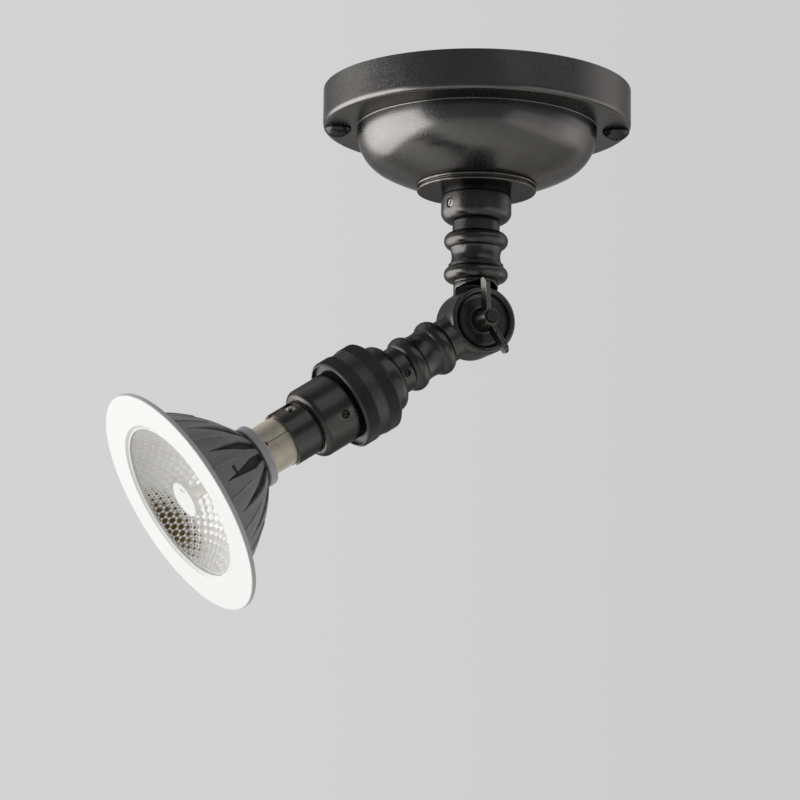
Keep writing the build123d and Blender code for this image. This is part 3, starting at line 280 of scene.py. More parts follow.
class RoseSizes(bpy.types.PropertyGroup):
    """Sizes of the ceiling rose."""
    rim: length("Rim", "Height of the upright rim", 17.2)
    sheet: length("Sheet", "Thickness of the spun sheet", 1.2)
    edge: length("Edge round", "Rounding of the rim's lower edge", 2.0)
    dome_radius: length("Dome radius", "Radius of the dome where it leaves the ledge", 53.0)
    dome_wall: length("Dome wall", "Upright wall at the top of the dome", 1.8)
    bend: length("Dome bend", "Radius of the dome's bend", 19.0)
    bend_angle: angle("Bend angle", "How far the dome's bend goes round", 62.0)
    crown: length("Dome crown", "Radius of the dome's flat crown", 85.0)
    boss_groove: length("Boss groove", "Groove between the boss's two bands", 0.7)
    boss_step: length("Boss step", "Step between the boss's two bands", 0.8)
    screw_slot: length("Screw slot", "Width of the slot in the ledge screws", 0.8)
    screw_slot_depth: length("Screw slot depth", "Depth of the slot in the ledge screws", 0.4)
    screw_rise: length("Screw rise", "How much taller the ledge screws' heads are than their solids", 0.6)


class StemSizes(bpy.types.PropertyGroup):
    """Sizes of the turned column and arm."""
    collar: length("Collar height", "Height of the collar", 7.8)
    collar_foot: length("Collar foot", "Height of the collar's rounded foot", 4.1)
    collar_bulge: length("Collar bulge", "How far the collar's foot swells", 1.2)
    neck_radius: length("Neck radius", "Radius of the column's neck", 10.4)
    neck: length("Neck height", "Height of the column's neck", 4.5)
    bead_radius: length("Bead radius", "Radius of the column's beads", 14.1)
    bead: length("Bead height", "Height of the column's upper bead", 7.2)
    low_bead: length("Lower bead height", "Height of the column's lower bead", 6.2)
    waist_radius: length("Waist radius", "Radius of the column's waist", 10.7)
    waist_end: length("Waist end", "Radius of the waist where it meets the beads", 11.6)
    waist: length("Waist height", "Height of the column's waist", 7.1)
    step_radius: length("Step radius", "Radius of the step over the lower bead", 12.1)
    step: length("Step height", "Height of the step over the lower bead", 1.4)
    foot_radius: length("Foot radius", "Radius of the column's foot", 9.8)
    arm_bead: length("Arm bead height", "Height of the arm's beads", 7.2)
    arm_foot: length("Arm bead foot", "Radius of the arm's end", 10.3)
    arm_waist_radius: length("Arm waist radius", "Radius of the arm's waist", 10.4)
    arm_waist_end: length("Arm waist end", "Radius of the arm's waist where it meets the beads", 11.0)
    arm_waist: length("Arm waist height", "Height of the arm's waist", 8.1)
    bore: length("Bore", "Radius of the wire's way through", 3.2)
    cast_voxel: length("Cast grain", "Grid that the cast pieces are smoothed on", 0.3)


class HolderSizes(bpy.types.PropertyGroup):
    """Sizes of the lampholder and its ring."""
    neck_radius: length("Neck radius", "Radius of the entry neck", 10.5)
    neck: length("Neck height", "Height of the entry neck", 6.4)
    cap_round: length("Cap shoulder", "Rounding of the cap's shoulder", 4.0)
    body_round: length("Body shoulder", "Rounding of the body's shoulder", 3.0)
    skirt_wall: length("Skirt wall", "Wall of the skirt", 0.9)
    skirt: length("Skirt length", "Length of the skirt", 12.7)
    pin_angle: angle("Pin angle", "Angle of the bayonet pin round the axis", 217.0)
    leg_turn: angle("Slot leg", "Turn from the slot's leg to the pin's seat", 28.0)
    leg_half: length("Slot leg half width", "Half the width of the slot's leg", 2.1)
    pin_drop: length("Pin place", "Distance of the pin from the skirt's end", 7.2)
    slot_half: length("Slot half width", "Half the width of the bayonet slot", 1.3)
    slot_travel: length("Slot travel", "Room in the slot's hook to press the lamp in", 2.0)
    ring_band: length("Ring band", "Width of each of the ring's knurled bands", 6.9)
    ring_plain: length("Ring plain band", "Width of the plain band between them", 5.0)
    ring_edge: length("Ring edge", "Chamfer of the ring's ends", 0.7)
    ring_groove: length("Ring groove", "Depth of the plain band between the knurled ones", 0.5)
    ring_recess: length("Ring recess", "Depth of the recess in the ring's front", 1.6)
    ring_recess_radius: length("Ring recess radius", "Radius of the recess in the ring's front", 19.0)
    knurl_depth: length("Knurl depth", "Height of the knurl's points", 0.26)
    knurl_count: count("Knurl count", "Points of the knurl in one row", 180)
    knurl_rows: count("Knurl rows", "Rows of points in one knurled band", 15)


class LampSizes(bpy.types.PropertyGroup):
    """Sizes of the lamp."""
    cap_round: length("Cap round", "Rounding of the lamp cap's end", 1.2)
    cap_wall: length("Cap wall", "Wall of the lamp cap", 0.4)
    collar_length: length("Collar length", "Length of the housing's collar", 3.8)
    collar_radius: length("Collar radius", "Radius of the housing's collar", 14.0)
    start_radius: length("Housing start", "Radius of the housing below its collar", 12.2)
    mouth_radius: length("Housing mouth", "Radius of the housing at its mouth", 41.0)
    bulge: length("Housing bulge", "How far the housing swells", 3.6)
    ribs: count("Ribs", "Ribs round the housing", 16)
    rib_angle: angle("Rib angle", "Angle of the first rib", 12.5)
    pocket_neck_depth: length("Pocket neck depth", "Depth of a pocket at the collar", 2.0)
    pocket_depth: length("Pocket depth", "Depth of a pocket towards the mouth", 3.0)
    pocket_neck: length("Pocket neck", "Width of a pocket at the collar", 3.0)
    pocket_width: length("Pocket width", "Width of a pocket at its shoulder", 5.2)
    pocket_shoulder: length("Pocket shoulder", "Distance of the shoulder from the collar", 9.0)
    pocket_length: length("Pocket length", "Distance of a pocket's point from the collar", 28.0)
    ridge_width: length("Ridge width", "Width of the thin ridge on a rib", 0.8)
    ridge_height: length("Ridge height", "Height of the thin ridge on a rib", 0.5)
    ridge_start: length("Ridge start", "Distance of a ridge's start from the collar", 15.0)
    ridge_end: length("Ridge end", "Distance of a ridge's end from the collar", 31.0)
    throat_radius: length("Bowl throat", "Radius of the bowl at its throat", 9.5)
    bowl_bulge: length("Bowl bulge", "How far the bowl swells", 3.4)
    bowl_wall: length("Bowl wall", "Wall of the bowl with its gap to the housing", 1.8)
    bowl_gap: length("Bowl gap", "Gap between the bowl's mouth and the housing", 0.3)
    bezel: length("Bezel width", "Width of the ring's sloping bezel", 1.4)
    bezel_depth: length("Bezel depth", "Depth of the ring's sloping bezel", 0.8)
    aperture: length("Aperture", "Radius of the ring's opening", 35.7)
    ring_edge: length("Ring edge", "Rounding of the ring's outer edge", 0.6)
    cell: length("Facet size", "Pitch of the bowl's six-sided facets", 2.5)
    pillow: length("Facet swell", "How far each facet swells", 0.28)
    centre_round: length("Centre cap round", "Rounding of the centre cap's edge", 0.7)


class Finishes(bpy.types.PropertyGroup):
    """Colours of the finishes."""
    bronze_dark: colour("Bronze, dark", "Dark tone of the aged bronze", 0.165, 0.160, 0.156)
    bronze_light: colour("Bronze, light", "Light tone of the aged bronze", 0.215, 0.209, 0.203)
    bronze_worn: colour("Bronze, worn", "Where the bronze is rubbed bright", 0.430, 0.385, 0.320)
    nickel: colour("Nickel", "Warm nickel of the lamp cap", 0.960, 0.880, 0.700)
    nickel_stain: colour("Nickel stain", "Tarnish on the lamp cap", 0.560, 0.480, 0.370)
    coat: colour("Housing", "Grey coat of the housing", 0.320, 0.314, 0.330)
    # Painted light: a paler copy of the housing's coat, standing for light on the collar
    coat_painted_light: colour("Housing collar", "Lighter grey of the housing's collar", 0.800, 0.790, 0.815)
    enamel: colour("White", "White of the front ring and centre cap", 0.820, 0.820, 0.810)
    mirror: colour("Mirror", "Bright coat of the bowl", 0.985, 0.975, 0.945)
    phosphor: colour("Phosphor", "Yellow of the light source", 0.850, 0.560, 0.090)


class StageSettings(bpy.types.PropertyGroup):
    """Camera, light and background."""
    camera: FloatVectorProperty(name="Camera", description="Place of the camera", size=3,
                                subtype="TRANSLATION", default=(-0.03256, -1.37007, -0.39044))
    pitch: angle("Pitch", "How far the camera looks up", 10.4)
    roll: angle("Roll", "How far the camera leans to its left", 0.68)
    lens: FloatProperty(name="Lens", description="Focal length in millimetres", default=144.0)
    backdrop: colour("Backdrop", "Pale background", 0.650, 0.650, 0.650)
    backdrop_far: colour("Backdrop, far side", "Background on the right", 0.605, 0.605, 0.605)
    room: colour("Room", "Dim room in front of the lamp", 0.105, 0.105, 0.107)
    floor: colour("Floor", "Pale floor", 0.620, 0.620, 0.610)
    key: power("Key light", "Power of the large soft light", 88.0)
    fill: power("Fill light", "Power of the soft fill", 3.2)
    upper: power("Upper light", "Power of the soft light over the arm", 2.0)


def sizes(name):
    """One of the scene's groups of sizes."""
    return getattr(bpy.context.scene.spotlight, name)


class Spotlight(bpy.types.PropertyGroup):
    """All the spotlight's settings."""
    rose: PointerProperty(type=RoseSizes)
    stem: PointerProperty(type=StemSizes)
    holder: PointerProperty(type=HolderSizes)
    lamp: PointerProperty(type=LampSizes)
    finish: PointerProperty(type=Finishes)
    stage: PointerProperty(type=StageSettings)


# Outlines and turned meshes

def arc(start, middle, end):
    """Points along the arc through three points, without its start."""
    (ax, ay), (bx, by), (cx, cy) = start, middle, end
    scale = 2 * (ax * (by - cy) + bx * (cy - ay) + cx * (ay - by))
    a, b, c = ax * ax + ay * ay, bx * bx + by * by, cx * cx + cy * cy
    x = (a * (by - cy) + b * (cy - ay) + c * (ay - by)) / scale
    y = (a * (cx - bx) + b * (ax - cx) + c * (bx - ax)) / scale
    radius = math.hypot(ax - x, ay - y)
    first, second, last = (math.atan2(q - y, p - x) for p, q in (start, middle, end))
    sweep = (last - first) % FULL_TURN
    if (second - first) % FULL_TURN > sweep:
        sweep -= FULL_TURN
    turns = [first + sweep * step / ARC_STEPS for step in range(1, ARC_STEPS + 1)]
    return [(x + radius * math.cos(turn), y + radius * math.sin(turn)) for turn in turns]


def bulge_point(start, end, bulge):
    """The middle of an arc that stands off its chord by a bulge, outwards where the chord runs down."""
    chord = math.dist(start, end)
    across = (start[1] - end[1]) / chord
    along = (end[0] - start[0]) / chord
    return ((start[0] + end[0]) / 2 + bulge * across, (start[1] + end[1]) / 2 + bulge * along)


def parabola(start, end, bulge):
    """Corners along the parabola between two points that stands off its chord by a bulge."""
    control = bulge_point(start, end, 2 * bulge)
    shares = [step / ARC_STEPS for step in range(ARC_STEPS + 1)]
    points = [[(1 - s) ** 2 * a + 2 * s * (1 - s) * b + s ** 2 * c for a, b, c in zip(start, control, end)]
              for s in shares]
    return [(radius, height, 0) for radius, height in points]


def softened(corners):
    """Round each corner (radius, height, rounding) of a closed outline."""
    points = []
    for place, (radius, height, rounding) in enumerate(corners):
        here = Vector((radius, height))
        before = Vector(corners[place - 1][:2]) - here
        after = Vector(corners[(place + 1) % len(corners)][:2]) - here
        turn = math.pi - before.angle(after)
        if not rounding or not radius or turn < SMOOTH_TURN:
            points.append(here)
            continue
        reach = min(rounding * math.tan(turn / 2), CORNER_ROOM * before.length, CORNER_ROOM * after.length)
        start = here + before.normalized() * reach
        end = here + after.normalized() * reach
        points.append(start + before.normalized() * reach * CORNER_HOLD)
        for step in range(CORNER_STEPS + 1):
            share = step / CORNER_STEPS
            points.append((1 - share) ** 2 * start + 2 * share * (1 - share) * here + share ** 2 * end)
        points.append(end + after.normalized() * reach * CORNER_HOLD)
    return points


def outline(*steps):
    """A closed outline: a step is a corner (radius, height[, rounding]) or an arc (middle, end)."""
    corners = []
    for step in steps:
        if isinstance(step[0], tuple):
            passed = arc(corners[-1][:2], *step)
            corners += [(*point, 0) for point in passed[:-1]]
            corners.append((*step[1], EDGE_ROUND))
        else:
            corners.append((*step, EDGE_ROUND) if len(step) == 2 else step)
    return softened(corners)


def turned(points, place=origin_place, sides=SIDES):
    """Turn a closed outline about the axis of a place, as a mesh."""
    vertices, rings, travelled = [], [], []
    length_so_far = 0.0
    for number, (radius, height) in enumerate(points):
        if number:
            length_so_far += (points[number] - points[number - 1]).length
        turns = [FULL_TURN * side / sides for side in range(sides)] if radius else [0.0]
        rings.append([len(vertices) + side for side in range(len(turns))])
        vertices += [(radius * math.cos(turn), radius * math.sin(turn), height) for turn in turns]
        travelled += [length_so_far / MM] * len(turns)
    faces = []
    for this, following in zip(rings, rings[1:] + rings[:1]):
        if len(this) == 1 and len(following) == 1:
            continue
        for side in range(sides):
            beside = (side + 1) % sides
            corners = [this[side % len(this)], this[beside % len(this)],
                       following[beside % len(following)], following[side % len(following)]]
            faces.append(list(dict.fromkeys(corners)))
    mesh = bpy.data.meshes.new("turned")
    mesh.from_pydata(vertices, [], faces)
    lines = mesh.attributes.new("turning", "FLOAT", "POINT")
    lines.data.foreach_set("value", travelled)
    mesh.transform(place)
    point_outwards(mesh)
    return mesh


def point_outwards(mesh):
    """Close seams and turn every face outwards."""
    work = bmesh.new()
    work.from_mesh(mesh)
    bmesh.ops.remove_doubles(work, verts=work.verts, dist=MERGE_REACH)
    bmesh.ops.recalc_face_normals(work, faces=work.faces)
    work.to_mesh(mesh)
    work.free()


def rows_of(elements, name, width, kind=float):
    """A property of a mesh's elements, one row for each."""
    values = numpy.empty(len(elements) * width, dtype=kind)
    elements.foreach_get(name, values)
    return values.reshape(-1, width)


def mark_rub(mesh):
    """Store how sharply each point stands out, so that a finish can rub off there."""
    places = rows_of(mesh.vertices, "co", 3)
    normals = rows_of(mesh.vertex_normals, "vector", 3)
    ends = rows_of(mesh.edges, "vertices", 2, numpy.int32)
    step = places[ends[:, 1]] - places[ends[:, 0]]
    square = numpy.maximum((step ** 2).sum(axis=1), LEAST_SQUARE)
    bend = numpy.zeros(len(places))
    for end, sign in ((0, -1), (1, 1)):
        fall = sign * (normals[ends[:, end]] * step).sum(axis=1)
        numpy.maximum.at(bend, ends[:, end], 2 * fall / square)
    rub = numpy.clip((bend * MM - RUB_START) / RUB_FULL, 0, 1)
    marks = mesh.attributes.new("rub", "FLOAT", "POINT")
    marks.data.foreach_set("value", rub)


def added(name, data):
    """A new object in the scene."""
    made = bpy.data.objects.new(name, data)
    bpy.context.scene.collection.objects.link(made)
    return made


def taken(work):
    """The mesh that an object's modifiers leave, without the object."""
    made = bpy.data.meshes.new_from_object(work.evaluated_get(bpy.context.evaluated_depsgraph_get()))
    bpy.data.objects.remove(work)
    return made


def evaluated(mesh, kind, **settings):
    """The mesh as one modifier leaves it."""
    work = added("work", mesh)
    modifier = work.modifiers.new("work", kind)
    for name, value in settings.items():
        setattr(modifier, name, value)
    return taken(work)


def carved(mesh, *cutters):
    """Cut other meshes out of a mesh."""
    for cutter in cutters:
        tool = added("cutter", cutter)
        mesh = evaluated(mesh, "BOOLEAN", operation="DIFFERENCE", solver="EXACT", object=tool)
        bpy.data.objects.remove(tool)
    return mesh


def mesh_of(work, name):
    """A new mesh of what has been worked on."""
    mesh = bpy.data.meshes.new(name)
    work.to_mesh(mesh)
    work.free()
    return mesh


def block(size, place):
    """A box mesh of a size, centred on a place."""
    work = bmesh.new()
    bmesh.ops.create_cube(work, size=1.0)
    bmesh.ops.scale(work, vec=size, verts=work.verts)
    mesh = mesh_of(work, "block")
    mesh.transform(place)
    return mesh


def node_copy(node):
    """A merged copy of a node's mesh."""
    mesh = frame["nodes"][node].data.copy()
    point_outwards(mesh)
    return mesh


def joined(*meshes):
    """Several meshes as one."""
    work = bmesh.new()
    for mesh in meshes:
        work.from_mesh(mesh)
    return mesh_of(work, "joined")


def coat(mesh, finish):
    """Give a mesh one finish and no other."""
    mesh.materials.clear()
    mesh.materials.append(finishes[finish])


def piece(name, mesh, body, finish, replaced=(), sharp=True):
    """Make a mesh a finished piece that rides on a body and stands for CAD nodes."""
    mesh.name = name
    mesh.shade_smooth()
    if sharp:
        mesh.set_sharp_from_angle(angle=SHARP_ANGLE)
    mark_rub(mesh)
    coat(mesh, finish)
    made = added(name, mesh)
    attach(made, body)
    if replaced:
        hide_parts(*replaced)


# Node trees

class Nodes:
    """Adds nodes to a tree; an input is a value, another node's output, or a node for its first output."""

    def __init__(self, tree):
        self.tree = tree

    def add(self, kind, inputs=None, **settings):
        """A new node with its settings and inputs."""
        made = self.tree.nodes.new(kind)
        for name, value in settings.items():
            setattr(made, name, value)
        for key, value in (inputs or {}).items():
            self.feed(made.inputs[key], value)
        return made

    def feed(self, socket, value):
        """Link an output to a socket, or set the socket's value."""
        if isinstance(value, bpy.types.Node):
            value = value.outputs[0]
        if isinstance(value, bpy.types.NodeSocket):
            self.tree.links.new(value, socket)
        else:
            socket.default_value = value

    def math(self, operation, first, second=0.0):
        """The result of one sum."""
        return self.add("ShaderNodeMath", {0: first, 1: second}, operation=operation).outputs[0]

    def product(self, first, *others):
        """Values multiplied."""
        for value in others:
            first = self.math("MULTIPLY", first, value)
        return first

    def total(self, first, *others):
        """Values added."""
        for value in others:
            first = self.math("ADD", first, value)
        return first

    def mix(self, share, first, second):
        """A colour between two colours."""
        made = self.add("ShaderNodeMix", {0: share, 6: first, 7: second}, data_type="RGBA")
        return made.outputs[2]

    def ramp(self, value, low, high, to_low=0.0, to_high=1.0):
        """A value moved from one span to another, and held at its ends."""
        made = self.add("ShaderNodeMapRange", {0: value, 1: low, 2: high, 3: to_low, 4: to_high})
        return made.outputs[0]

    def noise(self, scale, detail, roughness):
        """Cloudy noise in the object's own space."""
        spot = self.add("ShaderNodeTexCoord").outputs["Object"]
        inputs = {"Vector": spot, "Scale": scale, "Detail": detail, "Roughness": roughness}
        return self.add("ShaderNodeTexNoise", inputs).outputs[0]

    def attribute(self, name):
        """A value stored in the mesh."""
        return self.add("ShaderNodeAttribute", attribute_name=name).outputs["Fac"]

    def group(self, tree, inputs):
        """The result of a shared effect."""
        return self.add("ShaderNodeGroup", inputs, node_tree=tree).outputs[0]


def new_tree(name, kind, inputs, outputs):
    """An empty node tree with named sockets, and its nodes for them."""
    tree = bpy.data.node_groups.new(name, kind)
    for in_out, sockets in (("INPUT", inputs), ("OUTPUT", outputs)):
        for socket, socket_kind in sockets.items():
            tree.interface.new_socket(name=socket, in_out=in_out, socket_type="NodeSocket" + socket_kind)
    nodes = Nodes(tree)
    given = nodes.add("NodeGroupInput").outputs
    result = nodes.add("NodeGroupOutput").inputs
    return nodes, given, result


# Shared effects of the finishes

def make_blotches():
    """Soft cloudy patches of a coat that has aged unevenly."""
    nodes, given, result = new_tree("uneven_patches", "ShaderNodeTree",
                                    {"Scale": "Float", "Contrast": "Float"}, {"Mask": "Float"})
    cloud = nodes.noise(given["Scale"], detail=4.0, roughness=0.6)
    centred = nodes.math("SUBTRACT", cloud, 0.5)
    spread = nodes.product(centred, given["Contrast"])
    nodes.feed(result["Mask"], nodes.ramp(spread, -0.5, 0.5))
    return nodes.tree


def make_rubbed_edges():
    """Where edges that stand out are rubbed bright, broken up by small patches."""
    nodes, given, result = new_tree("rubbed_edges", "ShaderNodeTree",
                                    {"Amount": "Float", "Patch Scale": "Float"}, {"Mask": "Float"})
    patches = nodes.ramp(nodes.noise(given["Patch Scale"], detail=4.0, roughness=0.7), 0.35, 0.7, 0.15, 1.0)
    strength = nodes.product(nodes.attribute("rub"), patches, given["Amount"])
    nodes.feed(result["Mask"], nodes.ramp(strength, 0.0, 1.0))
    return nodes.tree


def make_turning_lines():
    """Fine lines left by turning a piece on a lathe, as a height."""
    nodes, given, result = new_tree("turning_lines", "ShaderNodeTree",
                                    {"Lines": "Float", "Grain": "Float"}, {"Height": "Float"})
    place = nodes.product(nodes.attribute("turning"), given["Lines"])
    line = nodes.add("ShaderNodeTexNoise", {"W": place, "Scale": 1.0, "Detail": 3.0}, noise_dimensions="1D")
    grain = nodes.product(nodes.noise(given["Grain"], detail=2.0, roughness=0.5), 0.5)
    nodes.feed(result["Height"], nodes.total(line, grain))
    return nodes.tree


def make_fine_grain():
    """A fine even grain, as of a sprayed or cast surface."""
    nodes, given, result = new_tree("fine_grain", "ShaderNodeTree", {"Scale": "Float"}, {"Value": "Float"})
    nodes.feed(result["Value"], nodes.noise(given["Scale"], detail=3.0, roughness=0.6))
    return nodes.tree


effects = {}
finishes = {}


def rgba(values):
    """A colour as a socket wants it."""
    return (*values, 1.0)


def toned(tone, share):
    """A colour made darker or paler by a share, as a socket wants it."""
    return rgba(min(1.0, share * part) for part in tone)


def new_material(name):
    """An empty material with one Principled shader."""
    material = bpy.data.materials.new(name)
    material.use_nodes = True
    material.node_tree.nodes.clear()
    nodes = Nodes(material.node_tree)
    shader = nodes.add("ShaderNodeBsdfPrincipled")
    nodes.add("ShaderNodeOutputMaterial", {"Surface": shader})
    finishes[name] = material
    return nodes, shader.inputs


def roughen(nodes, sockets, grain, low, high):
    """Let the roughness follow the fine grain between two values."""
    nodes.feed(sockets["Roughness"], nodes.ramp(grain, *GRAIN_SPAN, low, high))


def bump(nodes, sockets, height, depth):
    """Raise a surface by a height pattern."""
    made = nodes.add("ShaderNodeBump", {"Height": height, "Strength": 1.0, "Distance": depth})
    nodes.feed(sockets["Normal"], made)


def make_bronze(name, depth, patch_scale, wear, roughness, lines):
    """Aged bronze: uneven dark patina of some depth that also paints light and shade per part, edges rubbed
    to brass, fine turning lines.
    """
    look = sizes("finish")
    nodes, sockets = new_material(name)
    patches = nodes.group(effects["patches"], {"Scale": patch_scale, "Contrast": 1.5})
    rubbed = nodes.group(effects["rubbed"], {"Amount": wear, "Patch Scale": 260.0})
    grain = nodes.group(effects["grain"], {"Scale": 900.0})
    # Painted light and shade: the depth makes lighter and darker copies of one bronze tone
    tone = nodes.mix(patches, toned(look.bronze_dark, 1 / depth), toned(look.bronze_light, 1 / depth))
    nodes.feed(sockets["Base Color"], nodes.mix(rubbed, tone, rgba(look.bronze_worn)))
    sockets["Metallic"].default_value = 1.0
    sockets["Specular Tint"].default_value = rgba(EDGE_SHEEN)
    speckle = nodes.ramp(grain, *GRAIN_SPAN, roughness - 0.05, roughness + 0.07)
    smoother = nodes.product(rubbed, RUB_POLISH)
    nodes.feed(sockets["Roughness"], nodes.math("SUBTRACT", speckle, smoother))
    bump(nodes, sockets, nodes.group(effects["lines"], {"Lines": lines, "Grain": 1600.0}), depth=0.004 * MM)


def make_nickel():
    """Warm nickel plate with tarnish and faint handling marks."""
    look = sizes("finish")
    nodes, sockets = new_material("warm_nickel")
    patches = nodes.group(effects["patches"], {"Scale": 190.0, "Contrast": 3.0})
    grain = nodes.group(effects["grain"], {"Scale": 700.0})
    stain = nodes.product(patches, STAIN_SHARE)
    nodes.feed(sockets["Base Color"], nodes.mix(stain, rgba(look.nickel), rgba(look.nickel_stain)))
    sockets["Metallic"].default_value = NICKEL_METAL
    roughen(nodes, sockets, grain, low=0.30, high=0.44)
    bump(nodes, sockets, nodes.group(effects["lines"], {"Lines": 9.0, "Grain": 1200.0}), depth=0.004 * MM)


def make_coat(name, tone, roughness):
    """Grey sprayed coat with a fine texture, paler edges (partly wear, partly painted highlight) and painted
    shade in its pockets.
    """
    nodes, sockets = new_material(name)
    patches = nodes.group(effects["patches"], {"Scale": 110.0, "Contrast": 1.6})
    rubbed = nodes.group(effects["rubbed"], {"Amount": 0.8, "Patch Scale": 420.0})
    grain = nodes.group(effects["grain"], {"Scale": 2600.0})
    uneven = nodes.mix(patches, toned(tone, 0.84), rgba(tone))
    # Painted shade: points deep in the pockets are darkened, standing for the shade that falls there
    shaded = nodes.mix(nodes.attribute("pocket"), uneven, toned(tone, PAINTED_POCKET_SHADE))
    # Edges rubbed paler: partly wear, partly a painted highlight on the ribs' crests
    nodes.feed(sockets["Base Color"], nodes.mix(rubbed, shaded, toned(tone, 1.9)))
    sockets["Metallic"].default_value = 0.0
    sockets["Specular IOR Level"].default_value = COAT_GLOSS
    roughen(nodes, sockets, grain, low=roughness - 0.06, high=roughness + 0.08)
    bump(nodes, sockets, grain, depth=0.03 * MM)


def make_enamel(name, tone, roughness):
    """White moulded plastic with a faint unevenness."""
    nodes, sockets = new_material(name)
    patches = nodes.group(effects["patches"], {"Scale": 70.0, "Contrast": 1.4})
    grain = nodes.group(effects["grain"], {"Scale": 1500.0})
    warmer = [part * tint for part, tint in zip(tone, AGED_WHITE)]
    nodes.feed(sockets["Base Color"], nodes.mix(patches, rgba(warmer), rgba(tone)))
    roughen(nodes, sockets, grain, low=roughness - 0.04, high=roughness + 0.05)
    bump(nodes, sockets, grain, depth=0.006 * MM)


def make_mirror():
    """Vacuum-plated bowl, bright and slightly hazy, with warm dark glints painted on facet crowns as a
    reflection.
    """
    look = sizes("finish")
    nodes, sockets = new_material("mirror_plate")
    patches = nodes.group(effects["patches"], {"Scale": 130.0, "Contrast": 2.0})
    grain = nodes.group(effects["grain"], {"Scale": 1800.0})
    plate = nodes.mix(patches, toned(look.mirror, 0.93), rgba(look.mirror))
    low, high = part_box("centre_cap")
    middle = tuple((a + b) / 2 + aside for a, b, aside in zip(low, high, PAINTED_REFLECTION_ASIDE))
    spot = nodes.add("ShaderNodeTexCoord").outputs["Object"]
    away = nodes.add("ShaderNodeVectorMath", {0: spot, 1: middle}, operation="SUBTRACT")
    spread = 0.0
    for way, reach in ((PAINTED_REFLECTION_WAY, PAINTED_REFLECTION_LONG), (PAINTED_REFLECTION_ACROSS, PAINTED_REFLECTION_WIDE)):
        along = nodes.add("ShaderNodeVectorMath", {0: away, 1: way}, operation="DOT_PRODUCT")
        share = nodes.math("DIVIDE", along.outputs["Value"], reach)
        spread = nodes.total(nodes.math("POWER", share, 2.0), spread)
    near = nodes.ramp(spread, *PAINTED_REFLECTION_FADE, 1.0, 0.0)
    # Painted reflection: dark warm glints on the facets' crowns inside the patch, fixed to the bowl
    painted_reflection = nodes.ramp(nodes.total(nodes.attribute("crown"), near), *PAINTED_REFLECTION_EDGE)
    tint = nodes.mix(patches, rgba(PAINTED_REFLECTION_DARK), rgba(PAINTED_REFLECTION_WARM))
    nodes.feed(sockets["Base Color"], nodes.mix(painted_reflection, plate, tint))
    sockets["Metallic"].default_value = MIRROR_METAL
    roughen(nodes, sockets, grain, low=0.07, high=0.13)


def make_phosphor():
    """Yellow phosphor of the light source, faintly grainy."""
    look = sizes("finish")
    nodes, sockets = new_material("phosphor")
    grain = nodes.group(effects["grain"], {"Scale": 2200.0})
    nodes.feed(sockets["Base Color"], nodes.mix(grain, toned(look.phosphor, 0.8), rgba(look.phosphor)))
    roughen(nodes, sockets, grain, low=0.42, high=0.55)


def make_plain(name, tone, metallic, roughness, variation):
    """A plain inner material with a little unevenness."""
    nodes, sockets = new_material(name)
    patches = nodes.group(effects["patches"], {"Scale": 240.0, "Contrast": 2.0})
    grain = nodes.group(effects["grain"], {"Scale": 1400.0})
    nodes.feed(sockets["Base Color"], nodes.mix(patches, toned(tone, 1 - variation), rgba(tone)))
    sockets["Metallic"].default_value = metallic
    roughen(nodes, sockets, grain, low=roughness - 0.06, high=roughness + 0.06)
    bump(nodes, sockets, grain, depth=0.008 * MM)


# Depth of each bronze's patina, which also paints light and shade part by part (lighter on the spun dome,
# darker on the turned, cast and knurled pieces and the ledge screws), scale of its patches, wear of its
# edges, roughness, turning lines in a millimetre
BRONZES = {
    "spun_bronze": (0.82, 55.0, 0.35, 0.25, 5.0),
    "turned_bronze": (1.4, 140.0, 0.5, 0.26, 7.0),
    "screw_bronze": (2.0, 170.0, 0.1, 0.2, 0.0),
    "cast_bronze": (1.3, 170.0, 0.45, 0.30, 0.0),
    "knurled_bronze": (1.3, 140.0, 0.06, 0.42, 0.0),
}

# Colour of each plain finish, its share of metal, roughness and unevenness
PLAIN_FINISHES = {
    "bright_steel": ((0.56, 0.55, 0.53), 1.0, 0.32, 0.25),
    # Dark steel: on the neck and body set screws it is painted shade in their holes; on the seam it is the
    # joint's own dark
    "dark_steel": ((0.09, 0.088, 0.085), 1.0, 0.42, 0.30),
    "bare_brass": ((0.70, 0.52, 0.24), 1.0, 0.30, 0.25),
    "solder": ((0.62, 0.61, 0.60), 1.0, 0.38, 0.20),
    "circuit_board": ((0.62, 0.62, 0.58), 0.0, 0.50, 0.12),
    "dark_moulding": ((0.022, 0.021, 0.020), 0.0, 0.50, 0.30),
    "pale_moulding": ((0.66, 0.64, 0.58), 0.0, 0.46, 0.10),
    "wire_cover": ((0.30, 0.17, 0.09), 0.0, 0.45, 0.20),
}


class SPOTLIGHT_OT_finishes(bpy.types.Operator):
    """Make the finishes of all the pieces"""
    bl_idname = "spotlight.finishes"
    bl_label = "Finishes"

    def execute(self, context):
        look = sizes("finish")
        effects.update(patches=make_blotches(), rubbed=make_rubbed_edges(), lines=make_turning_lines(),
                       grain=make_fine_grain())
        for name, values in BRONZES.items():
            make_bronze(name, *values)
        make_nickel()
        make_coat("grey_coat", look.coat, roughness=0.44)
        # Painted light: the collar wears the housing's coat made paler, as though lit
        make_coat("grey_collar", look.coat_painted_light, roughness=0.40)
        make_enamel("white_ring", look.enamel, roughness=0.34)
        make_enamel("white_cap", look.enamel, roughness=0.42)
        make_mirror()
        make_phosphor()
        for name, values in PLAIN_FINISHES.items():
            make_plain(name, *values)
        return {"FINISHED"}


# Repeated shapes

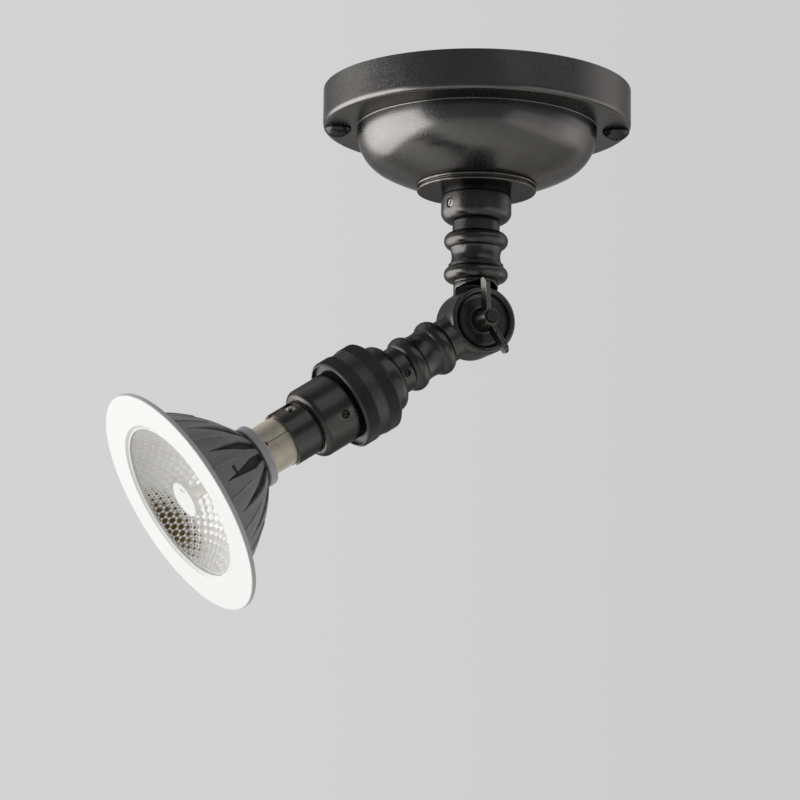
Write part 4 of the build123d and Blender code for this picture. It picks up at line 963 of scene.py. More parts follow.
def make_round_copies():
    """Copies of a piece round an axis, in staggered rows down the axis."""
    nodes, given, result = new_tree(
        "copies_round_an_axis", "GeometryNodeTree",
        {"Piece": "Geometry", "Count": "Int", "Rows": "Int", "Row Pitch": "Float", "Material": "Material"},
        {"Pieces": "Geometry"})
    number = nodes.add("GeometryNodeInputIndex")
    row = nodes.math("FLOOR", nodes.math("DIVIDE", nodes.total(number, 0.5), given["Count"]))
    stagger = nodes.product(nodes.math("MODULO", row, 2.0), 0.5)
    turn = nodes.math("DIVIDE", nodes.total(number, stagger), given["Count"])
    rotation = nodes.add("ShaderNodeCombineXYZ", {"Z": nodes.product(turn, FULL_TURN)})
    drop = nodes.product(row, given["Row Pitch"], -1.0)
    place = nodes.add("ShaderNodeCombineXYZ", {"Z": drop})
    total = nodes.product(given["Count"], given["Rows"])
    points = nodes.add("GeometryNodePoints", {"Count": total, "Position": place})
    copies = nodes.add("GeometryNodeInstanceOnPoints", {
        "Points": points, "Instance": given["Piece"], "Rotation": rotation})
    real = nodes.add("GeometryNodeRealizeInstances", {"Geometry": copies})
    whole = nodes.add("GeometryNodeMergeByDistance", {"Geometry": real, "Distance": COPY_REACH})
    coated = nodes.add("GeometryNodeSetMaterial", {
        "Geometry": whole, "Material": given["Material"]})
    nodes.feed(result["Pieces"], coated)
    return nodes.tree


def flat_cells(nodes, given):
    """A flat honeycomb of six-sided cells, larger than the bowl."""
    side = nodes.product(given["Mouth Radius"], GRID_ROOM)
    columns = nodes.math("ROUND", nodes.math("DIVIDE", side, given["Cell"]))
    row_pitch = nodes.product(given["Cell"], ROW_SHARE)
    rows = nodes.math("ROUND", nodes.math("DIVIDE", side, row_pitch))
    grid = nodes.add("GeometryNodeMeshGrid", {
        "Size X": side, "Size Y": side, "Vertices X": columns, "Vertices Y": rows})
    row = nodes.math("MODULO", nodes.add("GeometryNodeInputIndex"), rows)
    shift = nodes.product(nodes.math("MODULO", row, 2.0), given["Cell"], 0.5)
    moved = nodes.add("GeometryNodeSetPosition", {
        "Geometry": grid, "Offset": nodes.add("ShaderNodeCombineXYZ", {"X": shift})})
    triangles = nodes.add("GeometryNodeTriangulate", {"Mesh": moved})
    return nodes.add("GeometryNodeDualMesh", {"Mesh": triangles})


def trimmed(nodes, given, cells, radius):
    """The cells that lie between the bowl's throat and its mouth."""
    margin = nodes.product(given["Cell"], CELL_MARGIN)
    too_far = nodes.math("GREATER_THAN", radius, nodes.total(given["Mouth Radius"], margin))
    too_near = nodes.math("LESS_THAN", radius, nodes.math("SUBTRACT", given["Throat Radius"], margin))
    unwanted = nodes.math("MAXIMUM", too_far, too_near)
    return nodes.add("GeometryNodeDeleteGeometry", {"Geometry": cells, "Selection": unwanted}, domain="FACE")


def on_parabola(nodes, given, spot, radius):
    """Where a point of the flat honeycomb lies on the bowl, as the function parabola bends it."""
    throat, mouth, depth = given["Throat Radius"], given["Mouth Radius"], given["Depth"]
    width = nodes.math("SUBTRACT", mouth, throat)
    squares = nodes.total(nodes.math("POWER", width, 2.0), nodes.math("POWER", depth, 2.0))
    lift = nodes.math("DIVIDE", nodes.product(given["Bulge"], 2.0), nodes.math("SQRT", squares))
    middle = nodes.product(nodes.total(throat, mouth), 0.5)
    control_radius = nodes.total(middle, nodes.product(lift, depth))
    control_height = nodes.math("SUBTRACT", nodes.product(lift, width), nodes.product(depth, 0.5))
    kept = nodes.add("ShaderNodeClamp", {"Value": radius, "Min": throat, "Max": mouth})
    share = nodes.math("DIVIDE", nodes.math("SUBTRACT", kept, throat), width)
    rest = nodes.math("SUBTRACT", 1.0, share)
    first = nodes.math("POWER", rest, 2.0)
    between = nodes.product(share, rest, 2.0)
    last = nodes.math("POWER", share, 2.0)
    bowl_radius = nodes.total(nodes.product(first, throat), nodes.product(between, control_radius),
                              nodes.product(last, mouth))
    bowl_height = nodes.math("SUBTRACT", nodes.product(between, control_height), nodes.product(last, depth))
    stretch = nodes.math("DIVIDE", bowl_radius, nodes.math("MAXIMUM", radius, MM))
    across = nodes.add("ShaderNodeVectorMath", {0: spot, "Scale": stretch}, operation="SCALE")
    up = nodes.add("ShaderNodeCombineXYZ", {"Z": bowl_height})
    return nodes.add("ShaderNodeVectorMath", {0: across, 1: up}, operation="ADD")


def swollen(nodes, given, cells):
    """The cells, each raised in steps like a pillow and marked where it is highest."""
    for rise, top, crown in PILLOW_STEPS:
        swell = nodes.product(given["Pillow"], rise)
        raised = nodes.add("GeometryNodeExtrudeMesh", {
            "Mesh": cells, "Offset Scale": swell, "Individual": True}, mode="FACES").outputs
        tops = nodes.add("GeometryNodeScaleElements", {
            "Geometry": raised["Mesh"], "Selection": raised["Top"], "Scale": top}, domain="FACE")
        cells = nodes.add("GeometryNodeStoreNamedAttribute", {
            "Geometry": tops, "Selection": raised["Top"], "Name": "crown", "Value": crown},
            data_type="FLOAT", domain="FACE")
    return cells


def make_honeycomb():
    """A bowl of six-sided facets, each swelling like a pillow, on a parabola from throat to mouth."""
    nodes, given, result = new_tree(
        "honeycomb_bowl", "GeometryNodeTree",
        {"Geometry": "Geometry", "Cell": "Float", "Throat Radius": "Float", "Mouth Radius": "Float",
         "Depth": "Float", "Bulge": "Float", "Pillow": "Float", "Material": "Material"},
        {"Bowl": "Geometry"})
    spot = nodes.add("GeometryNodeInputPosition")
    radius = nodes.add("ShaderNodeVectorMath", {0: spot}, operation="LENGTH").outputs["Value"]
    cells = trimmed(nodes, given, flat_cells(nodes, given), radius)
    place = on_parabola(nodes, given, spot, radius)
    bowl = nodes.add("GeometryNodeSetPosition", {"Geometry": cells, "Position": place})
    inward = nodes.add("GeometryNodeFlipFaces", {"Mesh": bowl})
    real = nodes.add("GeometryNodeRealizeInstances", {"Geometry": swollen(nodes, given, inward)})
    coated = nodes.add("GeometryNodeSetMaterial", {"Geometry": real, "Material": given["Material"]})
    nodes.feed(result["Bowl"], coated)
    return nodes.tree


def grown(tree, mesh, values):
    """The plain mesh that a tree makes of a mesh, with its inputs set by name."""
    work = added("work", mesh)
    modifier = work.modifiers.new("tree", "NODES")
    modifier.node_group = tree
    for socket in tree.interface.items_tree:
        if socket.in_out == "INPUT" and socket.name in values:
            modifier[socket.identifier] = values[socket.name]
    return taken(work)


def round_copies(mesh, copies, finish, rows=1, row_pitch=0.0):
    """A mesh repeated round the Z axis, in a finish."""
    if "copies_round_an_axis" not in bpy.data.node_groups:
        make_round_copies()
    tree = bpy.data.node_groups["copies_round_an_axis"]
    return grown(tree, mesh, {"Count": copies, "Rows": rows, "Row Pitch": row_pitch,
                              "Material": finishes[finish]})


# The rose

def quarter(start, corner, end):
    """The arc step that rounds a square corner between two points equally far from it."""
    share = 1 - math.sqrt(0.5)
    return (tuple(c + share * (s + e - 2 * c) for s, c, e in zip(start, corner, end)), end)


def dome_steps(size, dome_start, inset, end_radius):
    """The dome's crown and bend, set in by a wall, as the crown's end and two arcs outwards."""
    bend = size.bend - inset
    crown = size.crown - inset
    bend_centre = size.dome_radius - size.bend
    shift = size.crown - size.bend
    centre = bend_centre - shift * math.cos(size.bend_angle)
    height = dome_start + shift * math.sin(size.bend_angle)
    last = math.acos((end_radius - centre) / crown)

    def on_bend(turn):
        """A point of the bend."""
        return (bend_centre + bend * math.cos(turn), dome_start - bend * math.sin(turn))

    def on_crown(turn):
        """A point of the crown."""
        return (centre + crown * math.cos(turn), height - crown * math.sin(turn))

    meeting = size.bend_angle
    return (on_crown(last), (on_crown((last + meeting) / 2), on_crown(meeting)),
            (on_bend(meeting / 2), on_bend(0)))


class SPOTLIGHT_OT_rose(bpy.types.Operator):
    """Spin the rose's cover and turn the stepped boss under it"""
    bl_idname = "spotlight.rose"
    bl_label = "Rose"

    def execute(self, context):
        size = sizes("rose")
        cover = Span("rose_cover", rose_place)
        boss = Span("rose_boss", rose_place)
        hole = Span("spigot_locknut", rose_place).radius
        ledge = -size.rim
        dome_start = ledge - size.dome_wall
        crown_end, crown, bend = dome_steps(size, dome_start, 0, boss.radius)
        inner_end, inner_crown, inner_bend = dome_steps(size, dome_start, size.sheet, boss.radius)
        inside = cover.radius - size.sheet
        inner_dome = size.dome_radius - size.sheet
        spun = turned(outline(
            (hole, cover.low), crown_end, crown, bend, (size.dome_radius, ledge, size.sheet / 2),
            (cover.radius, ledge, size.edge), (cover.radius, cover.high), (inside, cover.high),
            (inside, ledge + size.sheet), (inner_dome, ledge + size.sheet), inner_bend[1],
            (inner_bend[0], inner_crown[1]), (inner_crown[0], inner_end), (hole, inner_end[1])),
            rose_place, WIDE_SIDES)
        piece("spun_cover", spun, "rose", "spun_bronze", ["rose_cover"])

        spigot = Span("rose_spigot", rose_place)
        band = (boss.high - boss.low - size.boss_groove) / 2
        first = boss.high - band
        second = first - size.boss_groove
        foot = boss.radius - size.boss_step
        crest = size.boss_step / 2
        plate = turned(outline(
            (spigot.radius / 2, boss.high), (boss.radius - crest, boss.high),
            ((boss.radius, boss.high - band / 2), (boss.radius - crest, first)),
            (foot - crest, first), (foot - crest, second),
            ((foot + crest, second - band / 2), (foot - crest, boss.low)),
            (spigot.radius / 2, boss.low)), rose_place, BODY_SIDES)
        piece("stepped_boss", plate, "rose", "turned_bronze", ["rose_boss"])
        return {"FINISHED"}


class SPOTLIGHT_OT_ledge_screws(bpy.types.Operator):
    """Make the two domed slotted screws in the rose's ledge"""
    bl_idname = "spotlight.ledge_screws"
    bl_label = "Ledge screws"

    def execute(self, context):
        size = sizes("rose")
        low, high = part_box("rose_screws")
        ledge = -size.rim
        head = (high[1] - low[1]) / 2
        place = high[0] - head
        shank = head * SHANK_SHARE
        tip = low[2] - size.screw_rise
        height = ledge - tip
        edge = (head, ledge - height * HEAD_EDGE)
        shape = turned(outline(
            (0, high[2]), (shank, high[2]), (shank, ledge), (head, ledge), edge,
            (bulge_point(edge, (0, tip), height * HEAD_SWELL), (0, tip))), sides=SCREW_SIDES)
        slot_size = (size.screw_slot, 3 * head, 2 * size.screw_slot_depth)
        slot = block(slot_size, Matrix.Translation((0, 0, tip)))
        screw = carved(shape, slot)
        screw.transform(Matrix.Translation((place, 0, 0)) @ Matrix.Rotation(LEDGE_SLOT_TURN, 4, "Z"))
        pair = round_copies(screw, 2, "screw_bronze")
        piece("ledge_screws", pair, "rose", "screw_bronze", ["rose_screws"])
        return {"FINISHED"}


# Set screws in the turned pieces

class SetScrew:
    """A small radial screw in a turned piece, with its body, the piece's frame and its finish."""

    def __init__(self, node, body, place, finish):
        self.node, self.body, self.finish = node, body, finish
        points = points_in(node, place)
        heights = [point.z for point in points]
        middle = sum(points, Vector()) / len(points)
        turn = math.atan2(middle.y, middle.x)
        reaches = [point.x * math.cos(turn) + point.y * math.sin(turn) for point in points]
        self.radius = (max(heights) - min(heights)) / 2
        self.near, self.far = min(reaches), max(reaches)
        upright = Matrix.Translation((0, 0, (max(heights) + min(heights)) / 2))
        self.place = place @ upright @ Matrix.Rotation(turn, 4, "Z") @ SIDEWAYS

    def hole(self):
        """A cutter for the hole that the screw sits in, with a small countersink."""
        wide = self.radius + HOLE_CLEARANCE
        sink = self.far + HOLE_OVER / 3
        out = sink + HOLE_OVER
        return turned(outline((0, self.near), (wide, self.near), (wide, sink), (wide + HOLE_OVER, out),
                              (0, out)), self.place, SCREW_SIDES)

    def shape(self):
        """The screw with its slot."""
        shape = turned(outline(
            (0, self.near), (self.radius, self.near), (self.radius, self.far, self.radius / 4),
            (0, self.far)), self.place, GRUB_SIDES)
        slot = block((GRUB_SLOT, 3 * self.radius, 2 * GRUB_SLOT_DEPTH),
                     self.place @ Matrix.Translation((0, 0, self.far)) @ Matrix.Rotation(SLOT_TURN, 4, "Z"))
        return carved(shape, slot)


SET_SCREWS = {
    "collar_set_screw": SetScrew("column_set_screw", "column", column_place, "bright_steel"),
    # Painted shade: these two screws are made dark as though shaded in their holes
    "neck_set_screw": SetScrew("holder_cap_screw", "arm", arm_place, "dark_steel"),
    "body_set_screw": SetScrew("holder_body_screw", "arm", arm_place, "dark_steel"),
}


class SPOTLIGHT_OT_set_screws(bpy.types.Operator):
    """Make the three slotted set screws"""
    bl_idname = "spotlight.set_screws"
    bl_label = "Set screws"

    def execute(self, context):
        for name, screw in SET_SCREWS.items():
            piece(name, screw.shape(), screw.body, screw.finish, [screw.node])
        return {"FINISHED"}


# Column, knuckle and arm

class SPOTLIGHT_OT_column(bpy.types.Operator):
    """Turn the column with its collar, beads and waist"""
    bl_idname = "spotlight.column"
    bl_label = "Column"

    def execute(self, context):
        size = sizes("stem")
        stem = Span("column_stem", column_place)
        collar_bottom = stem.high - size.collar
        neck_top = collar_bottom - size.collar_foot
        bead_top = neck_top - size.neck
        waist_top = bead_top - size.bead
        step_top = waist_top - size.waist
        low_bead_top = step_top - size.step
        low_bead_bottom = low_bead_top - size.low_bead
        foot_start = (stem.radius, collar_bottom)
        foot_end = (size.neck_radius, neck_top)
        shape = turned(outline(
            (size.bore, stem.high), (stem.radius, stem.high, 2 * EDGE_ROUND), foot_start,
            (bulge_point(foot_start, foot_end, size.collar_bulge), foot_end), (size.neck_radius, bead_top),
            ((size.bead_radius, bead_top - size.bead / 2), (size.waist_end, waist_top)),
            ((size.waist_radius, (waist_top + step_top) / 2), (size.waist_end, step_top)),
            (size.step_radius, step_top), (size.step_radius, low_bead_top),
            ((size.bead_radius, low_bead_top - size.low_bead / 2), (size.foot_radius, low_bead_bottom)),
            (size.foot_radius, stem.low), (size.bore, stem.low)), column_place)
        shape = carved(shape, SET_SCREWS["collar_set_screw"].hole())
        piece("turned_column", shape, "column", "turned_bronze", ["column_stem"])
        return {"FINISHED"}


def cast(node, grid, rounds):
    """A node's shape with softened edges, as of a casting."""
    shape = evaluated(node_copy(node), "REMESH", mode="VOXEL", voxel_size=grid)
    return evaluated(shape, "SMOOTH", factor=CAST_SMOOTHING, iterations=rounds)


class SPOTLIGHT_OT_knuckle(bpy.types.Operator):
    """Cast the two halves of the knuckle, with softened edges"""
    bl_idname = "spotlight.knuckle"
    bl_label = "Knuckle"

    def execute(self, context):
        for node, body in (("knuckle_back", "column"), ("knuckle_front", "arm")):
            shape = cast(node, sizes("stem").cast_voxel, KNUCKLE_ROUNDS)
            piece("cast_" + node, shape, body, "cast_bronze", [node], sharp=False)
        return {"FINISHED"}


class SPOTLIGHT_OT_wing_nut(bpy.types.Operator):
    """Cast the wing nut, with rounded wings"""
    bl_idname = "spotlight.wing_nut"
    bl_label = "Wing nut"

    def execute(self, context):
        shape = cast("wing_nut", sizes("stem").cast_voxel * WING_GRID, WING_ROUNDS)
        piece("cast_wing_nut", shape, "wing_nut", "cast_bronze", ["wing_nut"],
              sharp=False)
        return {"FINISHED"}


class SPOTLIGHT_OT_arm(bpy.types.Operator):
    """Turn the arm with its two beads"""
    bl_idname = "spotlight.arm"
    bl_label = "Arm"

    def execute(self, context):
        size = sizes("stem")
        stem = Span("arm_stem", arm_place)
        waist_top = stem.high - size.arm_bead
        second = waist_top - size.arm_waist
        end = second - size.arm_bead
        shape = turned(outline(
            (size.bore, stem.high), (size.foot_radius, stem.high),
            ((stem.radius, stem.high - size.arm_bead / 2), (size.arm_waist_end, waist_top)),
            ((size.arm_waist_radius, (waist_top + second) / 2), (size.arm_waist_end, second)),
            ((stem.radius, second - size.arm_bead / 2), (size.arm_foot, end)), (size.bore, end)), arm_place)
        piece("turned_arm", shape, "arm", "turned_bronze", ["arm_stem"])
        return {"FINISHED"}


# Lampholder

def round_the_axis(turn):
    """A turn about the arm's axis."""
    return arm_place @ Matrix.Rotation(turn, 4, "Z")


def block_at(turn, size, centre):
    """A box turned about the arm's axis, centred on a point in the arm's frame."""
    return block(size, round_the_axis(turn) @ Matrix.Translation(centre))


class SPOTLIGHT_OT_holder(bpy.types.Operator):
    """Turn the lampholder's cap and body, and cut the bayonet slots in its skirt"""
    bl_idname = "spotlight.holder"
    bl_label = "Lampholder"

    def execute(self, context):
        size = sizes("holder")
        cap = Span("holder_cap", arm_place)
        shoulder = cap.high - size.neck
        bore = sizes("stem").bore
        round_start = (cap.radius - size.cap_round, shoulder)
        round_end = (cap.radius, shoulder - size.cap_round)
        shape = turned(outline(
            (bore, cap.high), (size.neck_radius, cap.high), (size.neck_radius, shoulder), round_start,
            quarter(round_start, (cap.radius, shoulder), round_end), (cap.radius, cap.low), (bore, cap.low)),
            arm_place)
        shape = carved(shape, SET_SCREWS["neck_set_screw"].hole())
        piece("turned_cap", shape, "arm", "turned_bronze", ["holder_cap"])

        body = Span("holder_body", arm_place)
        lamp_radius = Span("lamp_cap", arm_place).radius
        bore = lamp_radius + CAP_GAP
        skirt = bore + size.skirt_wall
        base = body.low + size.skirt
        insert = Span("holder_insert", arm_place)
        round_start = (body.radius, base + size.body_round)
        round_end = (body.radius - size.body_round, base)
        shape = turned(outline(
            (insert.radius, cap.low), (body.radius, cap.low), round_start,
            quarter(round_start, (body.radius, base), round_end), (skirt, base), (skirt, body.low),
            (bore, body.low), (bore, insert.low), (insert.radius, insert.low)), arm_place, BODY_SIDES)
        pin = body.low + size.pin_drop
        top = pin + size.slot_travel + size.slot_half
        cutters = [SET_SCREWS["body_set_screw"].hole()]

        def slot(turn, half, tall):
            """A cutter through the skirt, down from the slot's top."""
            return block_at(turn, (skirt, 2 * half, tall), (skirt, 0, top - tall / 2))

        for half_turn in (0, math.pi):
            leg = size.pin_angle - size.leg_turn + half_turn
            cutters.append(slot(leg, size.leg_half, top - body.low + size.slot_half))
            for cut in range(HOOK_CUTS + 1):
                turn = leg + size.leg_turn * cut / HOOK_CUTS
                cutters.append(slot(turn, size.slot_half, top - pin + size.slot_half))
        shape = carved(shape, *cutters)
        piece("turned_body", shape, "arm", "turned_bronze", ["holder_body"])
        return {"FINISHED"}


def knurl_point(radius, base, wide, high):
    """One point of a diamond knurl, on the +X side."""
    corners = [(base, -wide / 2, 0), (base, 0, -high / 2), (base, wide / 2, 0), (base, 0, high / 2)]
    mesh = bpy.data.meshes.new("knurl_point")
    slopes = [(0, 1, 4), (1, 2, 4), (2, 3, 4), (3, 0, 4)]
    mesh.from_pydata(corners + [(radius, 0, 0)], [], slopes + [(3, 2, 1, 0)])
    point_outwards(mesh)
    return mesh


class SPOTLIGHT_OT_shade_ring(bpy.types.Operator):
    """Turn the shade ring and knurl its two bands"""
    bl_idname = "spotlight.shade_ring"
    bl_label = "Shade ring"

    def execute(self, context):
        size = sizes("holder")
        ring = Span("shade_ring", arm_place)
        bore = Span("holder_body", arm_place).radius + RING_GAP
        core = ring.radius - size.knurl_depth
        groove = ring.radius - size.ring_groove
        first = ring.high - size.ring_band
        second = first - size.ring_plain
        recess = ring.low + size.ring_recess
        lip = core - size.ring_edge
        shape = turned(outline(
            (bore, ring.high), (lip, ring.high), (core, ring.high - size.ring_edge), (core, first),
            (groove, first), (groove, second), (core, second), (core, ring.low + size.ring_edge),
            (lip, ring.low), (size.ring_recess_radius, ring.low), (size.ring_recess_radius, recess),
            (bore, recess)), sides=BODY_SIDES)
        meshes = [shape]
        row_pitch = (size.ring_band - size.ring_edge) / (size.knurl_rows + 1)
        wide = FULL_TURN * core / size.knurl_count
        point = knurl_point(ring.radius, core - KNURL_SINK, wide, 2 * row_pitch)
        for start in (ring.high - size.ring_edge, second):
            band = round_copies(point.copy(), size.knurl_count, "knurled_bronze",
                                size.knurl_rows, row_pitch)
            band.transform(Matrix.Translation((0, 0, start - row_pitch)))
            meshes.append(band)
        whole = joined(*meshes)
        whole.transform(arm_place)
        piece("knurled_ring", whole, "shade_ring", "knurled_bronze", ["shade_ring"])
        return {"FINISHED"}


# Lamp

class SPOTLIGHT_OT_lamp_cap(bpy.types.Operator):
    """Draw the lamp's bayonet cap, its pins and the soldered seam"""
    bl_idname = "spotlight.lamp_cap"
    bl_label = "Lamp cap"

    def execute(self, context):
        size = sizes("lamp")
        cap = Span("lamp_cap", arm_place)
        insulator = Span("cap_insulator", arm_place)
        inner = cap.radius - size.cap_wall
        round_start = (cap.radius - size.cap_round, cap.high)
        round_end = (cap.radius, cap.high - size.cap_round)
        shell = turned(outline(
            (insulator.radius, cap.high), round_start,
            quarter(round_start, (cap.radius, cap.high), round_end), (cap.radius, cap.low), (inner, cap.low),
            (inner, cap.high - size.cap_round), (insulator.radius, cap.high - size.cap_round)), arm_place)
        piece("drawn_cap", shell, "lamp", "warm_nickel", ["lamp_cap"])

        pins = Span("lamp_pins", arm_place)
        radius = (pins.high - pins.low) / 2
        middle = (pins.high + pins.low) / 2
        across = Matrix.Translation((0, 0, middle)) @ Matrix.Rotation(sizes("holder").pin_angle, 4, "Z")
        pin = turned(outline((0, inner), (radius, inner), (radius, pins.radius, radius / 2),
                             (0, pins.radius)), across @ SIDEWAYS, PIN_SIDES)
        pair = round_copies(pin, 2, "bright_steel")
        pair.transform(arm_place)
        piece("bayonet_pins", pair, "lamp", "bright_steel", ["lamp_pins"])

        out = round_the_axis(SEAM_ANGLE) @ SIDEWAYS
        skirt_end = Span("holder_body", arm_place).low
        dot_place = out @ Matrix.Translation((-cap.low - SEAM_DOT, 0, 0))
        dot_edge = (SEAM_DOT, cap.radius - SEAM_RISE)
        crest = (0, cap.radius + DOT_RISE)
        dot = turned(outline((0, cap.radius - SEAM_RISE), dot_edge,
                             (bulge_point(crest, dot_edge, SEAM_RISE), crest)), dot_place, DOT_SIDES)
        seam_length = skirt_end - cap.low - SEAM_DOT
        seam = block((seam_length, SEAM_WIDTH, 2 * SEAM_RISE), out @ Matrix.Translation(
            (-cap.low - SEAM_DOT - seam_length / 2, 0, cap.radius)))
        piece("soldered_seam", joined(dot, seam), "lamp", "dark_steel")
        return {"FINISHED"}


def sector_side(size, drop, total, edge):
    """Half a sector at a distance from the collar, from a pocket's middle to a rib's, as (across, rise)."""
    if drop < size.pocket_shoulder:
        wider = (size.pocket_width - size.pocket_neck) * drop / size.pocket_shoulder
        half = (size.pocket_neck + wider) / 2
    else:
        taper = (size.pocket_length - drop) / (size.pocket_length - size.pocket_shoulder)
        half = max(size.pocket_width / 2 * taper, 2 * WALL_SLOPE)
    depth = size.pocket_neck_depth + (size.pocket_depth - size.pocket_neck_depth) * drop / total
    if drop >= size.pocket_length:
        depth = 0.0
    ridge = size.ridge_height if size.ridge_start <= drop <= size.ridge_end else 0.0
    ridge_foot = edge - size.ridge_width / 2
    return [(0.0, -depth), (half / 2, -depth), (half - WALL_SLOPE, -depth), (half + WALL_SLOPE, -POCKET_LIP),
            (half + 3 * WALL_SLOPE, 0.0), ((half + edge) / 2, 0.0), (ridge_foot - WALL_SLOPE, 0.0),
            (ridge_foot, ridge), (edge, ridge)]


def housing_sector(size, start, end, inside):
    """One rib's share of the housing: half a rib, a pocket, half a rib, closed behind along its inside."""
    half_pitch = math.pi / size.ribs
    total = start[1] - end[1]
    marks = {0.0, size.pocket_shoulder, size.pocket_length, size.ridge_start, size.ridge_end, total}
    for place in (size.pocket_length, size.ridge_start, size.ridge_end):
        marks |= {place - WALL_SLOPE, place + WALL_SLOPE}
    marks |= {total * step / SECTOR_ROWS for step in range(1, SECTOR_ROWS)}
    drops = sorted(marks)
    curve = [start] + arc(start, bulge_point(start, end, size.bulge), end)
    radii = [radius for radius, height in curve]
    heights = [start[1] - height for radius, height in curve]
    rows, shades = [], []
    for drop in drops:
        radius = float(numpy.interp(drop, heights, radii))
        side = sector_side(size, drop, total, radius * half_pitch)
        rows.append([(radius + rise, across / radius, start[1] - drop) for across, rise in side])
        # Points deep in a pocket are marked for the coat's painted shade
        shades.append([1.0 if rise < -PAINTED_SHADE_DEPTH else 0.0 for across, rise in side])
    columns = len(rows[0])
    for radius, height in inside:
        rows.append([(radius, half_pitch * column / (columns - 1), height) for column in range(columns)])
        shades.append([0.0] * columns)
    vertices, faces = [], []
    for row in rows:
        spread = [(radius, -turn, height) for radius, turn, height in reversed(row[1:])] + row
        vertices += [(radius * math.cos(turn), radius * math.sin(turn), height)
                     for radius, turn, height in spread]
    wide = 2 * columns - 1
    for row in range(len(rows)):
        below = (row + 1) % len(rows)
        for column in range(wide - 1):
            faces.append((row * wide + column, row * wide + column + 1,
                          below * wide + column + 1, below * wide + column))
    mesh = bpy.data.meshes.new("housing_sector")
    mesh.from_pydata(vertices, [], faces)
    # Marks that the coat's painted shade follows
    marks = mesh.attributes.new("pocket", "FLOAT", "POINT")
    marks.data.foreach_set("value", [value for row in shades for value in row[:0:-1] + row])
    return mesh


class SPOTLIGHT_OT_housing(bpy.types.Operator):
    """Make the finned housing and its collar"""
    bl_idname = "spotlight.housing"
    bl_label = "Lamp housing"

    def execute(self, context):
        size = sizes("lamp")
        housing = Span("heatsink", arm_place)
        bowl = Span("reflector", arm_place)
        collar_end = Span("lamp_cap", arm_place).low
        start = (size.start_radius, collar_end - size.collar_length)
        end = (size.mouth_radius, housing.low)
        back = (size.throat_radius + size.bowl_wall, bowl.high)
        front = (bowl.radius + size.bowl_gap, housing.low)
        inside = [point[:2] for point in reversed(parabola(back, front, size.bowl_bulge))]
        sector = housing_sector(size, start, end, inside + [(back[0], start[1])])
        half_pitch = math.pi / size.ribs
        sector.transform(Matrix.Rotation(size.rib_angle + half_pitch, 4, "Z"))
        bell = round_copies(sector, size.ribs, "grey_coat")
        point_outwards(bell)
        notch_height = start[1] - NOTCH_DROP
        spread = (end[0] - start[0]) / (start[1] - end[1])
        reach = start[0] + spread * NOTCH_DROP
        wide, tall, deep = NOTCH
        bell.transform(arm_place)
        notch = block_at(NOTCH_ANGLE, (2 * deep, wide, tall), (reach + size.bulge, 0, notch_height))
        bell = carved(bell, notch)
        piece("finned_housing", bell, "lamp", "grey_coat", ["heatsink"])

        inner = Span("lamp_cap", arm_place).radius - size.cap_wall - EDGE_ROUND
        ring = turned(outline(
            (inner / 2, collar_end), (size.collar_radius, collar_end, 2 * EDGE_ROUND),
            (size.collar_radius, start[1], 2 * EDGE_ROUND), (inner / 2, start[1])), arm_place)
        piece("housing_collar", ring, "lamp", "grey_collar")
        return {"FINISHED"}


class SPOTLIGHT_OT_front_ring(bpy.types.Operator):
    """Turn the flat white ring with its sloping bezel"""
    bl_idname = "spotlight.front_ring"
    bl_label = "Front ring"

    def execute(self, context):
        size = sizes("lamp")
        ring = Span("front_ring", arm_place)
        inner = size.aperture - size.bezel / 2
        step = ring.low + size.bezel_depth
        shape = turned(outline(
            (inner, ring.high), (ring.radius, ring.high), (ring.radius, ring.low, size.ring_edge),
            (size.aperture + size.bezel, ring.low, size.bezel_depth), (size.aperture, step), (inner, step)),
            arm_place, WIDE_SIDES)
        piece("white_front_ring", shape, "lamp", "white_ring", ["front_ring"])
        return {"FINISHED"}


class SPOTLIGHT_OT_reflector(bpy.types.Operator):
    """Make the bowl of six-sided facets"""
    bl_idname = "spotlight.reflector"
    bl_label = "Reflector"

    def execute(self, context):
        size = sizes("lamp")
        bowl = Span("reflector", arm_place)
        mouth = size.aperture - size.bezel / 2
        seed = bpy.data.meshes.new("seed")
        facets = grown(make_honeycomb(), seed, {
            "Cell": size.cell, "Throat Radius": size.throat_radius, "Mouth Radius": mouth,
            "Depth": bowl.high - bowl.low, "Bulge": size.bowl_bulge, "Pillow": size.pillow,
            "Material": finishes["mirror_plate"]})
        facets.transform(Matrix.Translation((0, 0, bowl.high)))
        wall = bowl.radius - mouth
        inner, outer = (
            parabola((size.throat_radius + out, bowl.high), (mouth + out, bowl.low), size.bowl_bulge)
            for out in (wall / 2, wall))
        shell = turned(outline(*inner, *reversed(outer)))
        whole = joined(facets, shell)
        whole.transform(arm_place)
        piece("faceted_bowl", whole, "lamp", "mirror_plate", ["reflector"],
              sharp=False)
        return {"FINISHED"}


class SPOTLIGHT_OT_centre_cap(bpy.types.Operator):
    """Turn the white centre cap with its small slit"""
    bl_idname = "spotlight.centre_cap"
    bl_label = "Centre cap"

    def execute(self, context):
        size = sizes("lamp")
        cap = Span("centre_cap", arm_place)
        shape = turned(outline(
            (0, cap.high), (cap.radius, cap.high), (cap.radius, cap.low, size.centre_round), (0, cap.low)),
            arm_place, CAP_SIDES)
        slit = block_at(SLIT_ANGLE, SLIT, (SLIT_PLACE, 0, cap.low))
        piece("white_centre_cap", carved(shape, slit), "lamp", "white_cap", ["centre_cap"])
        return {"FINISHED"}


